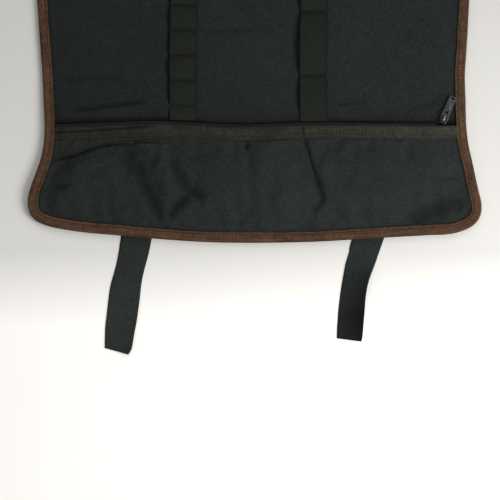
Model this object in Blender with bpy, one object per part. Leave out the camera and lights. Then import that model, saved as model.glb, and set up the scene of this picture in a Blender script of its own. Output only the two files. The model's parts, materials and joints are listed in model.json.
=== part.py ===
"""A chef knife roll, opened out and lying flat.

Metres, +Z up, +X across the roll and +Y from the pocket end to the far end. The origin is
the middle of the whole footprint, straps included, on the surface that the roll lies on.

The roll is drawn first with y = 0 at the middle of its pocket end. One empty then carries
every piece so that the footprint is centred on the origin.
"""
from collections import namedtuple
from math import atan2, cos, pi, radians, sin, sqrt

import bmesh
import bpy
import numpy as np
from mathutils import Euler, Vector
from mathutils.bvhtree import BVHTree

# Driving sizes of the cloth body
ROLL_LENGTH = 0.560
ROLL_WIDTH = 0.4726
WAIST_WIDTH = 0.438
TOP_WIDTH = 0.454
TOP_CORNER = 0.028
PANEL_THICKNESS = 0.0035

# Driving sizes of the zip pocket
POCKET_DEPTH = 0.1238
POCKET_FULLNESS = 0.0075
FRONT_CLOTH = 0.0013
TAPE_WIDTH = 0.0131
TAPE_CLOTH = 0.0008
COIL_WIDTH = 0.0034
COIL_HEIGHT = 0.0020

# Driving sizes of the edge binding
BINDING_WIDTH = 0.011
BINDING_CLOTH = 0.0009

# Driving sizes of the loop webbing
WEBBING_WIDTH = 0.0296
WEBBING_CLOTH = 0.0013
TOOL_COLUMN = -0.0747
TOOL_PITCH = 0.0262
TOOL_START = 0.0191
TOOL_RISE = 0.0022
BLADE_COLUMN = 0.0610
BLADE_PITCH = 0.0664
BLADE_START = 0.0504
BLADE_RISE = 0.0056
LOOP_FLATNESS = 2.2

# Driving sizes of the closing straps
STRAP_WIDTH = 0.0305
STRAP_END_WIDTH = 0.0275
STRAP_CLOTH = 0.0015
STRAP_SHOWN = 0.113
STRAP_TUCK = 0.045
STRAP_LEFT = -0.1231
STRAP_RIGHT = 0.1189
STRAP_TAPER_FROM = 0.5
CURL_SHORTENING = 0.8

# Driving sizes of the zip slider and its pull tab
SLIDER_LENGTH = 0.0116
SLIDER_WIDTH = 0.0095
SLIDER_HEIGHT = 0.0037
SLIDER_PLATE = 0.0010
SLIDER_NARROWING = 0.8
CORE_LENGTH_SHARE = 0.7
CORE_WIDTH_SHARE = 0.45
SLIDER_TURN = radians(65.8)
SLIDER_FROM_EDGE = 0.0234
SLIDER_ABOVE_ZIP = 0.0062
BRIDGE_WIDTH = 0.0020
BRIDGE_WIRE = 0.0011
BRIDGE_LENGTH = 0.0088
BRIDGE_RISE = 0.0038
TAB_WIDTH = 0.0080
TAB_LENGTH = 0.0225
TAB_THICKNESS = 0.0011
TAB_BAR = 0.0012
TAB_SLOT = 0.0046
EYE_START_SHARE = 0.75
EYE_END_SHARE = 0.35
EYE_CORNER_SHARE = 0.15

# Clearances. TAB_ROOM is a share of the tab's thickness below its middle, a little
# more than half, and TUCK_ROOM how far past the straps the pocket end stays lifted.
GAP = 0.0003
EDGE_ROOM = 0.0006
TAB_ROOM = 0.55
TUCK_ROOM = 1.1

# Grid counts, steps of a smooth line between two rows, steps of one loop or strap, and
# how strongly the stations of the outline crowd towards the corners
SPLINE_STEPS = 16
PANEL_COLUMNS = 30
PANEL_ROWS_POCKET = 9
PANEL_ROWS_FIELD = 14
FRONT_COLUMNS = 60
FRONT_ROWS = 13
TOOL_STEPS = 4
BLADE_STEPS = 10
STRAP_STEPS = 18
CROWDING = 0.75
CROWD_POWER = 1.7

# Edges sharper than this stay sharp
SHARP_ANGLE = radians(40)

# Rows round the outline. waist, flare and top are shares of half of the waist, roll and top
# widths, added together. pocket and field are shares of the pocket's depth and of the rest
# of the roll's length, added together. corner is a share of the far corners' radius, taken
# off both ways.
OutlineRow = namedtuple("OutlineRow", "side waist flare top pocket field corner")
BOTTOM_ROWS = (
    OutlineRow(-1, 0, 0.967, 0, 0.193, 0, 0),
    OutlineRow(-1, 0, 0.912, 0, 0.143, 0, 0),
    OutlineRow(-1, 0, 0.767, 0, 0.092, 0, 0),
    OutlineRow(-1, 0, 0.613, 0, 0.065, 0, 0),
    OutlineRow(-1, 0, 0.419, 0, 0.032, 0, 0),
    OutlineRow(-1, 0, 0.220, 0, 0.007, 0, 0),
    OutlineRow(1, 0, 0.000, 0, 0.000, 0, 0),
    OutlineRow(1, 0, 0.285, 0, 0.011, 0, 0),
    OutlineRow(1, 0, 0.426, 0, 0.027, 0, 0),
    OutlineRow(1, 0, 0.580, 0, 0.045, 0, 0),
    OutlineRow(1, 0, 0.773, 0, 0.065, 0, 0),
    OutlineRow(1, 0, 0.874, 0, 0.078, 0, 0),
    OutlineRow(1, 0, 0.958, 0, 0.140, 0, 0),
)
RIGHT_POCKET_ROWS = (
    OutlineRow(1, 0.09, 0.91, 0, 0.220, 0, 0),
    OutlineRow(1, 0, 1.00, 0, 0.328, 0, 0),
    OutlineRow(1, 0.21, 0.79, 0, 0.462, 0, 0),
    OutlineRow(1, 0.57, 0.43, 0, 0.702, 0, 0),
    OutlineRow(1, 0.81, 0.19, 0, 0.864, 0, 0),
    OutlineRow(1, 0.90, 0.10, 0, 1, 0, 0),
)
RIGHT_FIELD_ROWS = (
    OutlineRow(1, 1.03, 0, -0.03, 1, 0.067, 0),
    OutlineRow(1, 0.85, 0, 0.15, 1, 0.143, 0),
    OutlineRow(1, 0.34, 0, 0.66, 1, 0.295, 0),
    OutlineRow(1, 0.08, 0, 0.92, 1, 0.519, 0),
    OutlineRow(1, 0, 0, 1, 1, 0.780, 0),
)
LEFT_FIELD_ROWS = (
    OutlineRow(-1, 0, 0, 1, 1, 0.780, 0),
    OutlineRow(-1, -0.06, 0, 1.06, 1, 0.519, 0),
    OutlineRow(-1, -0.04, 0, 1.04, 1, 0.295, 0),
    OutlineRow(-1, 0.51, 0, 0.49, 1, 0.177, 0),
    OutlineRow(-1, 0.90, 0, 0.10, 1, 0.045, 0),
)
LEFT_POCKET_ROWS = (
    OutlineRow(-1, 1.00, 0.00, 0, 1, 0, 0),
    OutlineRow(-1, 0.90, 0.10, 0, 0.781, 0, 0),
    OutlineRow(-1, 0.54, 0.46, 0, 0.613, 0, 0),
    OutlineRow(-1, 0.12, 0.88, 0, 0.444, 0, 0),
    OutlineRow(-1, 0, 1.00, 0, 0.350, 0, 0),
    OutlineRow(-1, 0.10, 0.90, 0, 0.260, 0, 0),
)

# The zip's course. across is a share of half the roll's width, rise a share of the tape's.
ZipRow = namedtuple("ZipRow", "across rise")
ZIP_ROWS = (
    ZipRow(-1.00, -0.16),
    ZipRow(-0.88, -0.12),
    ZipRow(-0.63, 0.02),
    ZipRow(-0.42, 0.14),
    ZipRow(-0.06, -0.16),
    ZipRow(0.22, 0.03),
    ZipRow(0.43, 0.01),
    ZipRow(0.78, -0.05),
    ZipRow(1.00, -0.05),
)

# Folds in the pocket front. Ends are shares of half the roll's width and of the pocket's
# depth, width a share of the pocket's depth, height a share of its fullness, minus for a
# valley. taper is the share of the height that is left at the far end. Away from its
# edges and folds the front stands at FULL_SHARE of the fullness.
Fold = namedtuple("Fold", "x0 y0 x1 y1 width height taper")
FULL_SHARE = 0.9
POCKET_FOLDS = (
    Fold(0.219, 0.88, 0.245, 0.66, 0.090, -0.26, 0.8),
    Fold(0.245, 0.66, 0.300, 0.36, 0.100, -0.24, 0.5),
    Fold(0.290, 0.84, 0.345, 0.45, 0.120, 0.16, 0.7),
    Fold(-0.036, 0.88, -0.030, 0.74, 0.060, -0.16, 0.4),
    Fold(-0.481, 0.80, -0.472, 0.50, 0.110, -0.18, 0.9),
    Fold(-0.472, 0.50, -0.406, 0.17, 0.110, -0.16, 0.5),
    Fold(-0.358, 0.74, -0.208, 0.33, 0.110, -0.20, 0.5),
    Fold(-0.430, 0.70, -0.330, 0.36, 0.090, 0.12, 0.5),
    Fold(0.637, 0.17, 0.900, 0.34, 0.120, -0.20, 0.7),
    Fold(-0.860, 0.68, -0.653, 0.79, 0.100, -0.28, 0.8),
    Fold(-0.653, 0.79, -0.360, 0.84, 0.080, -0.26, 0.3),
)

# Low folds in the padded panel, with y counted in pocket depths up from the zip and the
# height a share of the panel's thickness.
PANEL_FOLDS = (
    Fold(-0.86, 0.10, 0.86, 0.13, 0.22, 0.22, 1.0),
    Fold(-0.78, 0.32, -0.47, 0.42, 0.26, 0.20, 0.6),
    Fold(0.47, 0.34, 0.80, 0.30, 0.30, 0.18, 0.7),
    Fold(-0.86, 0.78, -0.50, 0.70, 0.34, 0.16, 0.8),
    Fold(-0.20, 0.80, 0.16, 0.72, 0.36, 0.12, 0.8),
    Fold(0.44, 1.50, 0.82, 1.30, 0.40, 0.16, 0.8),
    Fold(-0.82, 2.20, -0.48, 2.00, 0.40, 0.14, 0.8),
)

# Courses of the two straps. across is a share of the strap's width off its root, along a
# share of its shown length, curl how high its right edge lifts as a share of its width.
StrapRow = namedtuple("StrapRow", "across along curl")
LEFT_STRAP_ROWS = (
    StrapRow(0.245, -0.38, 0.00),
    StrapRow(0.00, -0.055, 0.00),
    StrapRow(-0.230, 0.25, 0.00),
    StrapRow(-0.410, 0.49, 0.02),
    StrapRow(-0.530, 0.73, 0.12),
    StrapRow(-0.625, 1.00, 0.20),
)
RIGHT_STRAP_ROWS = (
    StrapRow(0.420, -0.38, 0.00),
    StrapRow(0.00, -0.04, 0.00),
    StrapRow(-0.240, 0.155, 0.04),
    StrapRow(-0.400, 0.285, 0.30),
    StrapRow(-0.520, 0.49, 0.40),
    StrapRow(-0.600, 0.70, 0.40),
    StrapRow(-0.655, 0.893, 0.36),
)

# Heights and insets that several pieces share
UNDERLAY = BINDING_CLOTH + GAP
STRAP_LIFT = STRAP_CLOTH + GAP
FRONT_STACK = GAP + FRONT_CLOTH
WEBBING_SEAT = 1.5 * GAP
HEM_INSET = BINDING_CLOTH + EDGE_ROOM
VISIBLE_INSET = BINDING_WIDTH + 2 * GAP
COIL_ROOM = COIL_WIDTH / 2 + GAP

COLOURS = {
    "body cloth": ((0.021, 0.026, 0.028), 0.85, 0.0),
    "binding tape": ((0.105, 0.045, 0.026), 0.80, 0.0),
    "zip tape cloth": ((0.036, 0.033, 0.026), 0.85, 0.0),
    "zip coil": ((0.010, 0.010, 0.009), 0.50, 0.0),
    "webbing": ((0.019, 0.020, 0.015), 0.80, 0.0),
    "strap cloth": ((0.014, 0.019, 0.019), 0.85, 0.0),
    "zip metal": ((0.085, 0.090, 0.090), 0.35, 1.0),
}


def smooth(value):
    """Ease from 0 to 1 without a corner at either end."""
    value = np.clip(value, 0.0, 1.0)
    return value * value * (3.0 - 2.0 * value)


def spline(rows, closed=False):
    """A smooth polyline through rows of coordinates."""
    rows = np.asarray(rows, float)
    if closed:
        rows = np.vstack([rows[-1:], rows, rows[:2]])
    else:
        rows = np.vstack([2 * rows[0] - rows[1], rows, 2 * rows[-1] - rows[-2]])
    points = []
    for p0, p1, p2, p3 in zip(rows, rows[1:], rows[2:], rows[3:]):
        knots = [0.0]
        for a, b in ((p0, p1), (p1, p2), (p2, p3)):
            knots.append(knots[-1] + sqrt(max(np.linalg.norm(b - a), 1e-9)))
        t0, t1, t2, t3 = knots
        for step in range(SPLINE_STEPS):
            t = t1 + (t2 - t1) * step / SPLINE_STEPS
            a1 = (t1 - t) / (t1 - t0) * p0 + (t - t0) / (t1 - t0) * p1
            a2 = (t2 - t) / (t2 - t1) * p1 + (t - t1) / (t2 - t1) * p2
            a3 = (t3 - t) / (t3 - t2) * p2 + (t - t2) / (t3 - t2) * p3
            b1 = (t2 - t) / (t2 - t0) * a1 + (t - t0) / (t2 - t0) * a2
            b2 = (t3 - t) / (t3 - t1) * a2 + (t - t1) / (t3 - t1) * a3
            points.append((t2 - t) / (t2 - t1) * b1 + (t - t1) / (t2 - t1) * b2)
    if not closed:
        points.append(rows[-2])
    return np.array(points)


def outline_point(row):
    across = (row.waist * WAIST_WIDTH + row.flare * ROLL_WIDTH + row.top * TOP_WIDTH) / 2
    along = row.pocket * POCKET_DEPTH + row.field * (ROLL_LENGTH - POCKET_DEPTH)
    return row.side * (across - row.corner * TOP_CORNER), along - row.corner * TOP_CORNER


def corner_rows(side):
    """The far corner: the end of the straight side, the arc's middle, the straight top."""
    half = TOP_WIDTH / 2
    bite = TOP_CORNER * (1 - cos(pi / 4))
    return [
        (side * half, ROLL_LENGTH - TOP_CORNER),
        (side * (half - bite), ROLL_LENGTH - bite),
        (side * (half - TOP_CORNER), ROLL_LENGTH),
    ]


def outline_runs():
    """The outline's smooth polyline, cut where the cloth grids have their corners."""
    bottom = [outline_point(row) for row in BOTTOM_ROWS]
    right_pocket = [outline_point(row) for row in RIGHT_POCKET_ROWS]
    right_field = [outline_point(row) for row in RIGHT_FIELD_ROWS]
    left_field = [outline_point(row) for row in LEFT_FIELD_ROWS]
    left_pocket = [outline_point(row) for row in LEFT_POCKET_ROWS]
    right_corner = corner_rows(1)
    left_corner = corner_rows(-1)[::-1]
    straight = [(side * TOP_WIDTH / 3, ROLL_LENGTH) for side in (1, 0, -1)]
    rows = (bottom + right_pocket + right_field + right_corner + straight
            + left_corner + left_field + left_pocket)
    marks = {
        "bottom left": 0,
        "bottom right": len(bottom) - 1,
        "right zip": len(bottom) + len(right_pocket) - 1,
        "top right": len(bottom) + len(right_pocket) + len(right_field) + 1,
    }
    marks["top left"] = marks["top right"] + len(straight) + 3
    marks["left zip"] = marks["top left"] + 2 + len(left_field)
    line = spline(rows, closed=True)
    return line, {name: SPLINE_STEPS * row for name, row in marks.items()}


Run = namedtuple("Run", "points inward")
OUTLINE, MARKS = outline_runs()


def crowd_ends(share):
    return (1 - CROWDING) * share + CROWDING * (0.5 - 0.5 * np.cos(pi * share))


def crowd_start(share):
    return share ** CROWD_POWER


def crowd_end(share):
    return 1 - crowd_start(1 - share)


def run(start, end, count, ease, backwards=False):
    """Stations between two marks of the outline, spaced as ease says."""
    first, last = MARKS[start], MARKS[end]
    if last <= first:
        last += len(OUTLINE)
    index = np.arange(first, last + 1) % len(OUTLINE)
    points = OUTLINE[index]
    chord = np.linalg.norm(np.diff(points, axis=0), axis=1)
    length = np.concatenate([[0.0], np.cumsum(chord)])
    eased = ease(np.linspace(0.0, 1.0, count + 1))
    ahead = OUTLINE[(index + 1) % len(OUTLINE)] - OUTLINE[(index - 1) % len(OUTLINE)]
    inward = np.stack([-ahead[:, 1], ahead[:, 0]], axis=1)
    inward /= np.linalg.norm(inward, axis=1)[:, None]
    spots = eased * length[-1]
    stations = np.stack([np.interp(spots, length, points[:, k]) for k in (0, 1)], axis=1)
    normals = np.stack([np.interp(spots, length, inward[:, k]) for k in (0, 1)], axis=1)
    if backwards:
        stations, normals = stations[::-1], normals[::-1]
    return Run(stations, normals)


def joined(first, second):
    return Run(np.vstack([first.points, second.points[1:]]),
               np.vstack([first.inward, second.inward[1:]]))


def inset(stations, distance):
    return stations.points + stations.inward * distance


def patch(bottom, top, left, right):
    """Fill four edges that meet at their ends with an even grid of points."""
    u = (np.arange(len(bottom)) / (len(bottom) - 1))[:, None, None]
    v = (np.arange(len(left)) / (len(left) - 1))[None, :, None]
    corners = ((1 - u) * (1 - v) * bottom[0] + u * (1 - v) * bottom[-1]
               + (1 - u) * v * top[0] + u * v * top[-1])
    return ((1 - v) * bottom[:, None] + v * top[:, None]
            + (1 - u) * left[None] + u * right[None] - corners)


def thinned(stations):
    """Leave out the stations next to both ends."""
    last = len(stations) - 1
    return stations[[0, *range(2, last - 1), last]]


def edge_distance(points):
    """How far each point lies inside the outline."""
    flat = points.reshape(-1, 2)
    gap = np.linalg.norm(flat[:, None] - OUTLINE[None, ::2], axis=2).min(axis=1)
    return gap.reshape(points.shape[:-1])


def zip_line(x):
    rows = spline([(row.across * ROLL_WIDTH / 2, row.rise * TAPE_WIDTH) for row in ZIP_ROWS])
    return POCKET_DEPTH + np.interp(x, rows[:, 0], rows[:, 1])


def lift(y):
    """The pocket end rides over the straps, then comes down to the surface."""
    return STRAP_LIFT * (1 - smooth((y - STRAP_TUCK * TUCK_ROOM) / (POCKET_DEPTH / 2)))


def panel_under(y):
    return UNDERLAY + lift(y)


def panel_over(y):
    return panel_under(y) + PANEL_THICKNESS


def binding_over(y):
    """Top of the binding: over panel and pocket front, then over the panel alone."""
    above_zip = (y - POCKET_DEPTH) / (2 * BINDING_WIDTH)
    return panel_over(y) + FRONT_STACK * (1 - smooth(above_zip)) + GAP + BINDING_CLOTH


def fold_height(x, y, folds, base, depth):
    """Sum of the folds of a table at each point, as a share of the table's height."""
    total = np.zeros_like(x)
    for fold in folds:
        start = np.array([fold.x0 * ROLL_WIDTH / 2, base + fold.y0 * depth])
        end = np.array([fold.x1 * ROLL_WIDTH / 2, base + fold.y1 * depth])
        way = end - start
        along = ((x - start[0]) * way[0] + (y - start[1]) * way[1]) / way.dot(way)
        along = np.clip(along, 0.0, 1.0)
        off = np.hypot(x - start[0] - along * way[0], y - start[1] - along * way[1])
        shape = 0.5 + 0.5 * np.cos(pi * np.clip(off / (fold.width * depth), 0.0, 1.0))
        total += fold.height * shape * (1 - (1 - fold.taper) * along)
    return total


def panel_relief(points):
    x, y = points[..., 0], points[..., 1]
    folds = fold_height(x, y, PANEL_FOLDS, POCKET_DEPTH, POCKET_DEPTH)
    inside = smooth((edge_distance(points) - VISIBLE_INSET) / (2 * BINDING_WIDTH))
    above_zip = smooth((y - zip_line(x)) / TAPE_WIDTH)
    return PANEL_THICKNESS * folds * inside * above_zip


def pocket_bulge(points):
    """Height of the pocket front's under side over the panel, past its seated margin."""
    x, y = points[..., 0], points[..., 1]
    from_edge = (edge_distance(points) - VISIBLE_INSET) / (POCKET_DEPTH / 4)
    below_tape = zip_line(x) - COIL_WIDTH / 2 - TAPE_WIDTH - 2 * GAP - y
    from_zip = below_tape / (POCKET_DEPTH / 4)
    margin = smooth(from_edge) * smooth(from_zip)
    folds = fold_height(x, y, POCKET_FOLDS, 0.0, POCKET_DEPTH)
    reach = np.minimum(smooth(from_edge * 2), smooth(from_zip * 2))
    return POCKET_FULLNESS * np.maximum(margin * FULL_SHARE + folds * reach, 0.0)


def material(name):
    found = bpy.data.materials.get(name)
    if found is None:
        colour, roughness, metallic = COLOURS[name]
        found = bpy.data.materials.new(name)
        found.use_nodes = True
        shader = found.node_tree.nodes["Principled BSDF"]
        shader.inputs["Base Color"].default_value = (*colour, 1.0)
        shader.inputs["Roughness"].default_value = roughness
        shader.inputs["Metallic"].default_value = metallic
        found.diffuse_color = (*colour, 1.0)
    return found


def new_object(name, bm, finish, parent):
    mesh = bpy.data.meshes.new(name)
    bm.to_mesh(mesh)
    bm.free()
    mesh.shade_smooth()
    mesh.set_sharp_from_angle(angle=SHARP_ANGLE)
    mesh.materials.append(material(finish))
    piece = bpy.data.objects.new(name, mesh)
    PIECES.objects.link(piece)
    piece.parent = parent
    return piece


def grid_mesh(columns, rows):
    """A flat grid, and the column and row of each of its vertices."""
    bm = bmesh.new()
    bmesh.ops.create_grid(bm, x_segments=columns, y_segments=rows, size=1.0)
    places = {}
    for vertex in bm.verts:
        column = round((vertex.co.x + 1) / 2 * columns)
        row = round((vertex.co.y + 1) / 2 * rows)
        places[vertex] = (column, row)
    return bm, places


def slab(name, plan, under, over, finish, parent):
    """A closed sheet on a grid of plan points, between two grids of heights."""
    columns, rows = plan.shape[0] - 1, plan.shape[1] - 1
    bm, places = grid_mesh(columns, rows)
    for vertex, (column, row) in places.items():
        vertex.co = (*plan[column, row], under[column, row])
    bm.verts.index_update()
    spots = {vertex.index: place for vertex, place in places.items()}
    lower = list(bm.verts)
    copy = bmesh.ops.duplicate(bm, geom=bm.faces[:])
    for old in lower:
        vertex = copy["vert_map"][old]
        column, row = spots[old.index]
        vertex.co.z = over[column, row]
    rims = [edge for edge in bm.edges if edge.is_boundary]
    bmesh.ops.bridge_loops(bm, edges=rims)
    bmesh.ops.recalc_face_normals(bm, faces=bm.faces[:])
    return new_object(name, bm, finish, parent)


def swept(name, sections, finish, parent, closed=False):
    """A skin over a row of like-numbered sections, closed into a ring or capped."""
    stations, sides = len(sections), len(sections[0])
    spans = stations if closed else stations - 1
    bm, places = grid_mesh(spans, sides)
    for vertex, (column, row) in places.items():
        vertex.co = sections[column % stations][row % sides]
    bmesh.ops.remove_doubles(bm, verts=bm.verts[:], dist=1e-7)
    if not closed:
        rims = [edge for edge in bm.edges if edge.is_boundary]
        bmesh.ops.holes_fill(bm, edges=rims, sides=sides)
    bmesh.ops.recalc_face_normals(bm, faces=bm.faces[:])
    return new_object(name, bm, finish, parent)


class Seat:
    """Finds how high a finished piece stands under a point."""

    def __init__(self, piece):
        bm = bmesh.new()
        bm.from_mesh(piece.data)
        self.tree = BVHTree.FromBMesh(bm)
        bm.free()

    def under(self, x, y):
        hit = self.tree.ray_cast(Vector((x, y, 1.0)), Vector((0, 0, -1)))[0]
        return hit.z if hit else 0.0


def cloth_runs(columns, pocket_rows, field_rows):
    """Stations round the whole outline for a grid of the given counts."""
    bottom = run("bottom left", "bottom right", columns, crowd_ends)
    top = run("top right", "top left", columns, crowd_ends, backwards=True)
    right = joined(run("bottom right", "right zip", pocket_rows, crowd_start),
                   run("right zip", "top right", field_rows, crowd_end))
    left = joined(run("left zip", "bottom left", pocket_rows, crowd_end, backwards=True),
                  run("top left", "left zip", field_rows, crowd_start, backwards=True))
    return bottom, top, left, right


def make_main_panel(parent):
    """The padded body: a rim under the binding, then a pocket part and a field part."""
    columns = PANEL_COLUMNS
    rows = PANEL_ROWS_POCKET + PANEL_ROWS_FIELD
    bottom, top, left, right = cloth_runs(columns, PANEL_ROWS_POCKET, PANEL_ROWS_FIELD)
    plan = np.zeros((columns + 1, rows + 1, 2))
    plan[:, 0] = inset(bottom, HEM_INSET)
    plan[:, rows] = inset(top, HEM_INSET)
    plan[0, :] = inset(left, HEM_INSET)
    plan[columns, :] = inset(right, HEM_INSET)
    low = thinned(inset(bottom, VISIBLE_INSET))
    high = thinned(inset(top, VISIBLE_INSET))
    west = thinned(inset(left, VISIBLE_INSET))
    east = thinned(inset(right, VISIBLE_INSET))
    seam = PANEL_ROWS_POCKET - 1
    share = (low[:, :1] - low[0, 0]) / (low[-1, 0] - low[0, 0])
    zip_row = west[seam] + share * (east[seam] - west[seam])
    zip_row[0] = west[seam]
    zip_row[-1] = east[seam]
    pocket = patch(low, zip_row, west[:seam + 1], east[:seam + 1])
    field = patch(zip_row, high, west[seam:], east[seam:])
    plan[1:columns, 1:rows] = np.concatenate([pocket, field[:, 1:]], axis=1)
    under = panel_under(plan[..., 1])
    over = panel_over(plan[..., 1])
    over[1:columns, 1:rows] += panel_relief(plan[1:columns, 1:rows])
    return slab("main_panel", plan, under, over, "body cloth", parent)


def make_pocket_front(parent):
    """The pocket's front, hollow beneath, with one grid row along the zip tape's edge."""
    columns = FRONT_COLUMNS
    rows = FRONT_ROWS
    bottom, _, left, right = cloth_runs(columns, rows, PANEL_ROWS_FIELD)
    plan = np.zeros((columns + 1, rows + 1, 2))
    plan[:, 0] = inset(bottom, HEM_INSET)
    plan[0, :] = inset(left, HEM_INSET)[:rows + 1]
    plan[columns, :] = inset(right, HEM_INSET)[:rows + 1]
    low = thinned(inset(bottom, VISIBLE_INSET))
    seen = [0, *range(2, rows + 1)]
    west = inset(left, VISIBLE_INSET)[seen]
    east = inset(right, VISIBLE_INSET)[seen]
    share = (low[:, :1] - low[0, 0]) / (low[-1, 0] - low[0, 0])
    high = west[-1] + share * (east[-1] - west[-1])
    high[:, 1] = zip_line(high[:, 0]) - COIL_ROOM
    tape_edge = west[-2] + share * (east[-2] - west[-2])
    tape_edge[:, 1] = zip_line(tape_edge[:, 0]) - COIL_ROOM - TAPE_WIDTH - GAP
    west[-2] = tape_edge[0]
    east[-2] = tape_edge[-1]
    plan[1:columns, 1:rows] = patch(low, tape_edge, west[:-1], east[:-1])
    plan[1:columns, rows] = high
    plan[[0, columns], rows, 1] = high[[0, -1], 1]
    plan[[0, columns], rows - 1, 1] = tape_edge[[0, -1], 1]
    bulge = np.zeros((columns + 1, rows + 1))
    bulge[1:columns, 1:] = pocket_bulge(plan[1:columns, 1:])
    under = panel_over(plan[..., 1]) + GAP + bulge
    return slab("pocket_front", plan, under, under + FRONT_CLOTH, "body cloth", parent)


def make_edge_binding(parent):
    """Tape folded round the edge: a lower leg, a wall and an upper leg."""
    bottom, top, left, right = cloth_runs(PANEL_COLUMNS, PANEL_ROWS_POCKET, PANEL_ROWS_FIELD)
    points = np.vstack([bottom.points, right.points[1:], top.points[::-1][1:],
                        left.points[::-1][1:-1]])
    inward = np.vstack([bottom.inward, right.inward[1:], top.inward[::-1][1:],
                        left.inward[::-1][1:-1]])
    cloth = BINDING_CLOTH
    sections = []
    for point, way in zip(points, inward):
        low = float(lift(point[1]))
        high = float(binding_over(point[1]))
        profile = (
            (BINDING_WIDTH, low),
            (cloth, low),
            (0, low + cloth),
            (0, high - cloth),
            (cloth, high),
            (BINDING_WIDTH, high),
            (BINDING_WIDTH, high - cloth),
            (cloth, high - cloth),
            (cloth, low + cloth),
            (BINDING_WIDTH, low + cloth),
        )
        sections.append([(*(point + way * depth), height) for depth, height in profile])
    return swept("edge_binding", sections, "binding tape", parent, closed=True)


def between_bindings():
    """Where what lies along the zip starts and ends, just clear of the binding."""
    left = outline_point(LEFT_POCKET_ROWS[0])[0] + VISIBLE_INSET
    right = outline_point(RIGHT_POCKET_ROWS[-1])[0] - VISIBLE_INSET
    return left + GAP, right - GAP


def make_zip_tape(parent):
    left, right = between_bindings()
    across = np.linspace(left, right, PANEL_COLUMNS + 1)
    edge = zip_line(across) - COIL_ROOM
    plan = np.zeros((len(across), 3, 2))
    plan[..., 0] = across[:, None]
    plan[..., 1] = edge[:, None] + np.array([-1.0, -0.5, 0.0]) * TAPE_WIDTH
    under = panel_over(plan[..., 1]) + FRONT_STACK + GAP
    return slab("zip_tape", plan, under, under + TAPE_CLOTH, "zip tape cloth", parent)


def slider_place():
    """Middle of the slider in plan."""
    x = outline_point(RIGHT_POCKET_ROWS[-1])[0] - SLIDER_FROM_EDGE
    return x, POCKET_DEPTH + SLIDER_ABOVE_ZIP


def make_zip_coil(parent, seat):
    left, _ = between_bindings()
    x, _ = slider_place()
    right = x - SLIDER_WIDTH / 2 / sin(SLIDER_TURN) - SLIDER_LENGTH / 4 - GAP
    chamfer = COIL_HEIGHT / 4
    half = COIL_WIDTH / 2
    sections = []
    for across in np.linspace(left, right, PANEL_COLUMNS + 1):
        along = float(zip_line(across))
        edges = [seat.under(across, along + side) for side in (-half, 0, half)]
        low = max(edges) + GAP
        high = low + COIL_HEIGHT
        profile = (
            (-half, low), (half, low), (half, high - chamfer),
            (half - chamfer, high), (chamfer - half, high), (-half, high - chamfer),
        )
        sections.append([(across, along + offset, height) for offset, height in profile])
    return swept("zip_coil", sections, "zip coil", parent)


def tack_lines(low, start, pitch, high):
    """The column's low end, a tack at every pitch, and its high end.

    A tack that would stand closer than a third of the pitch to the high end is left out.
    """
    lines = [low]
    line = POCKET_DEPTH + start
    while line < high - pitch / 3:
        lines.append(line)
        line += pitch
    return [*lines, high]


def make_loop_webbing(name, column, start, pitch, rise, steps, parent, seat):
    """A webbing column tacked down at intervals, standing up a little between the tacks.

    What is left past the last tack lies flat.
    """
    across = column + np.linspace(-0.5, 0.5, 7) * WEBBING_WIDTH
    low = float(zip_line(across).max()) + COIL_ROOM + GAP
    high = ROLL_LENGTH - VISIBLE_INSET - GAP
    lines = tack_lines(low, start, pitch, high)
    along = []
    swell = []
    for first, last in zip(lines, lines[1:]):
        shortness = min(1.0, (last - first) / pitch)
        raised = 0.0 if last == high else rise * shortness
        for step in range(steps):
            share = step / steps
            along.append(first + share * (last - first))
            swell.append(raised * (1 - abs(2 * share - 1) ** LOOP_FLATNESS))
    along.append(high)
    swell.append(0.0)
    plan = np.zeros((3, len(along), 2))
    plan[..., 0] = column + np.array([-0.5, 0.0, 0.5])[:, None] * WEBBING_WIDTH
    plan[..., 1] = along
    ground = np.array([[seat.under(*point) for point in side] for side in plan])
    under = ground.max(axis=0) + WEBBING_SEAT + np.array(swell)
    under = np.repeat(under[None], 3, axis=0)
    return slab(name, plan, under, under + WEBBING_CLOTH, "webbing", parent)


def make_strap(name, root, rows, parent):
    """A cloth strap that leaves from under the pocket end and lies on the surface."""
    course = spline([(root + row.across * STRAP_WIDTH, -row.along * STRAP_SHOWN,
                      row.curl * STRAP_WIDTH, row.along) for row in rows])
    steps = np.linspace(0, len(course) - 1, STRAP_STEPS + 1)
    course = np.stack([np.interp(steps, np.arange(len(course)), course[:, k])
                       for k in range(4)], axis=1)
    way = np.gradient(course[:, :2], axis=0)
    way /= np.linalg.norm(way, axis=1)[:, None]
    left = np.stack([way[:, 1], -way[:, 0]], axis=1)
    taper = smooth((course[:, 3] - STRAP_TAPER_FROM) / (1 - STRAP_TAPER_FROM))
    cut = STRAP_WIDTH + (STRAP_END_WIDTH - STRAP_WIDTH) * taper
    curl = np.maximum(course[:, 2], 0.0)
    shown = cut * (1 - CURL_SHORTENING * (curl / STRAP_WIDTH) ** 2)
    share = np.linspace(0.0, 1.0, 5)
    plan = np.zeros((len(share), len(course), 2))
    reach = (left * shown[:, None])[None]
    plan[:] = course[None, :, :2] + (0.5 - share)[:, None, None] * reach
    under = share[:, None] ** 2 * curl[None]
    return slab(name, plan, under, under + STRAP_CLOTH, "strap cloth", parent)


def box(name, size, place, finish, parent, narrow=1.0):
    """A block with its own middle at place, its -X end narrowed when asked."""
    bm = bmesh.new()
    bmesh.ops.create_cube(bm, size=1.0)
    bmesh.ops.scale(bm, vec=size, verts=bm.verts)
    for vertex in bm.verts:
        if vertex.co.x < 0:
            vertex.co.y *= narrow
    bmesh.ops.translate(bm, vec=place, verts=bm.verts)
    return new_object(name, bm, finish, parent)


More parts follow.
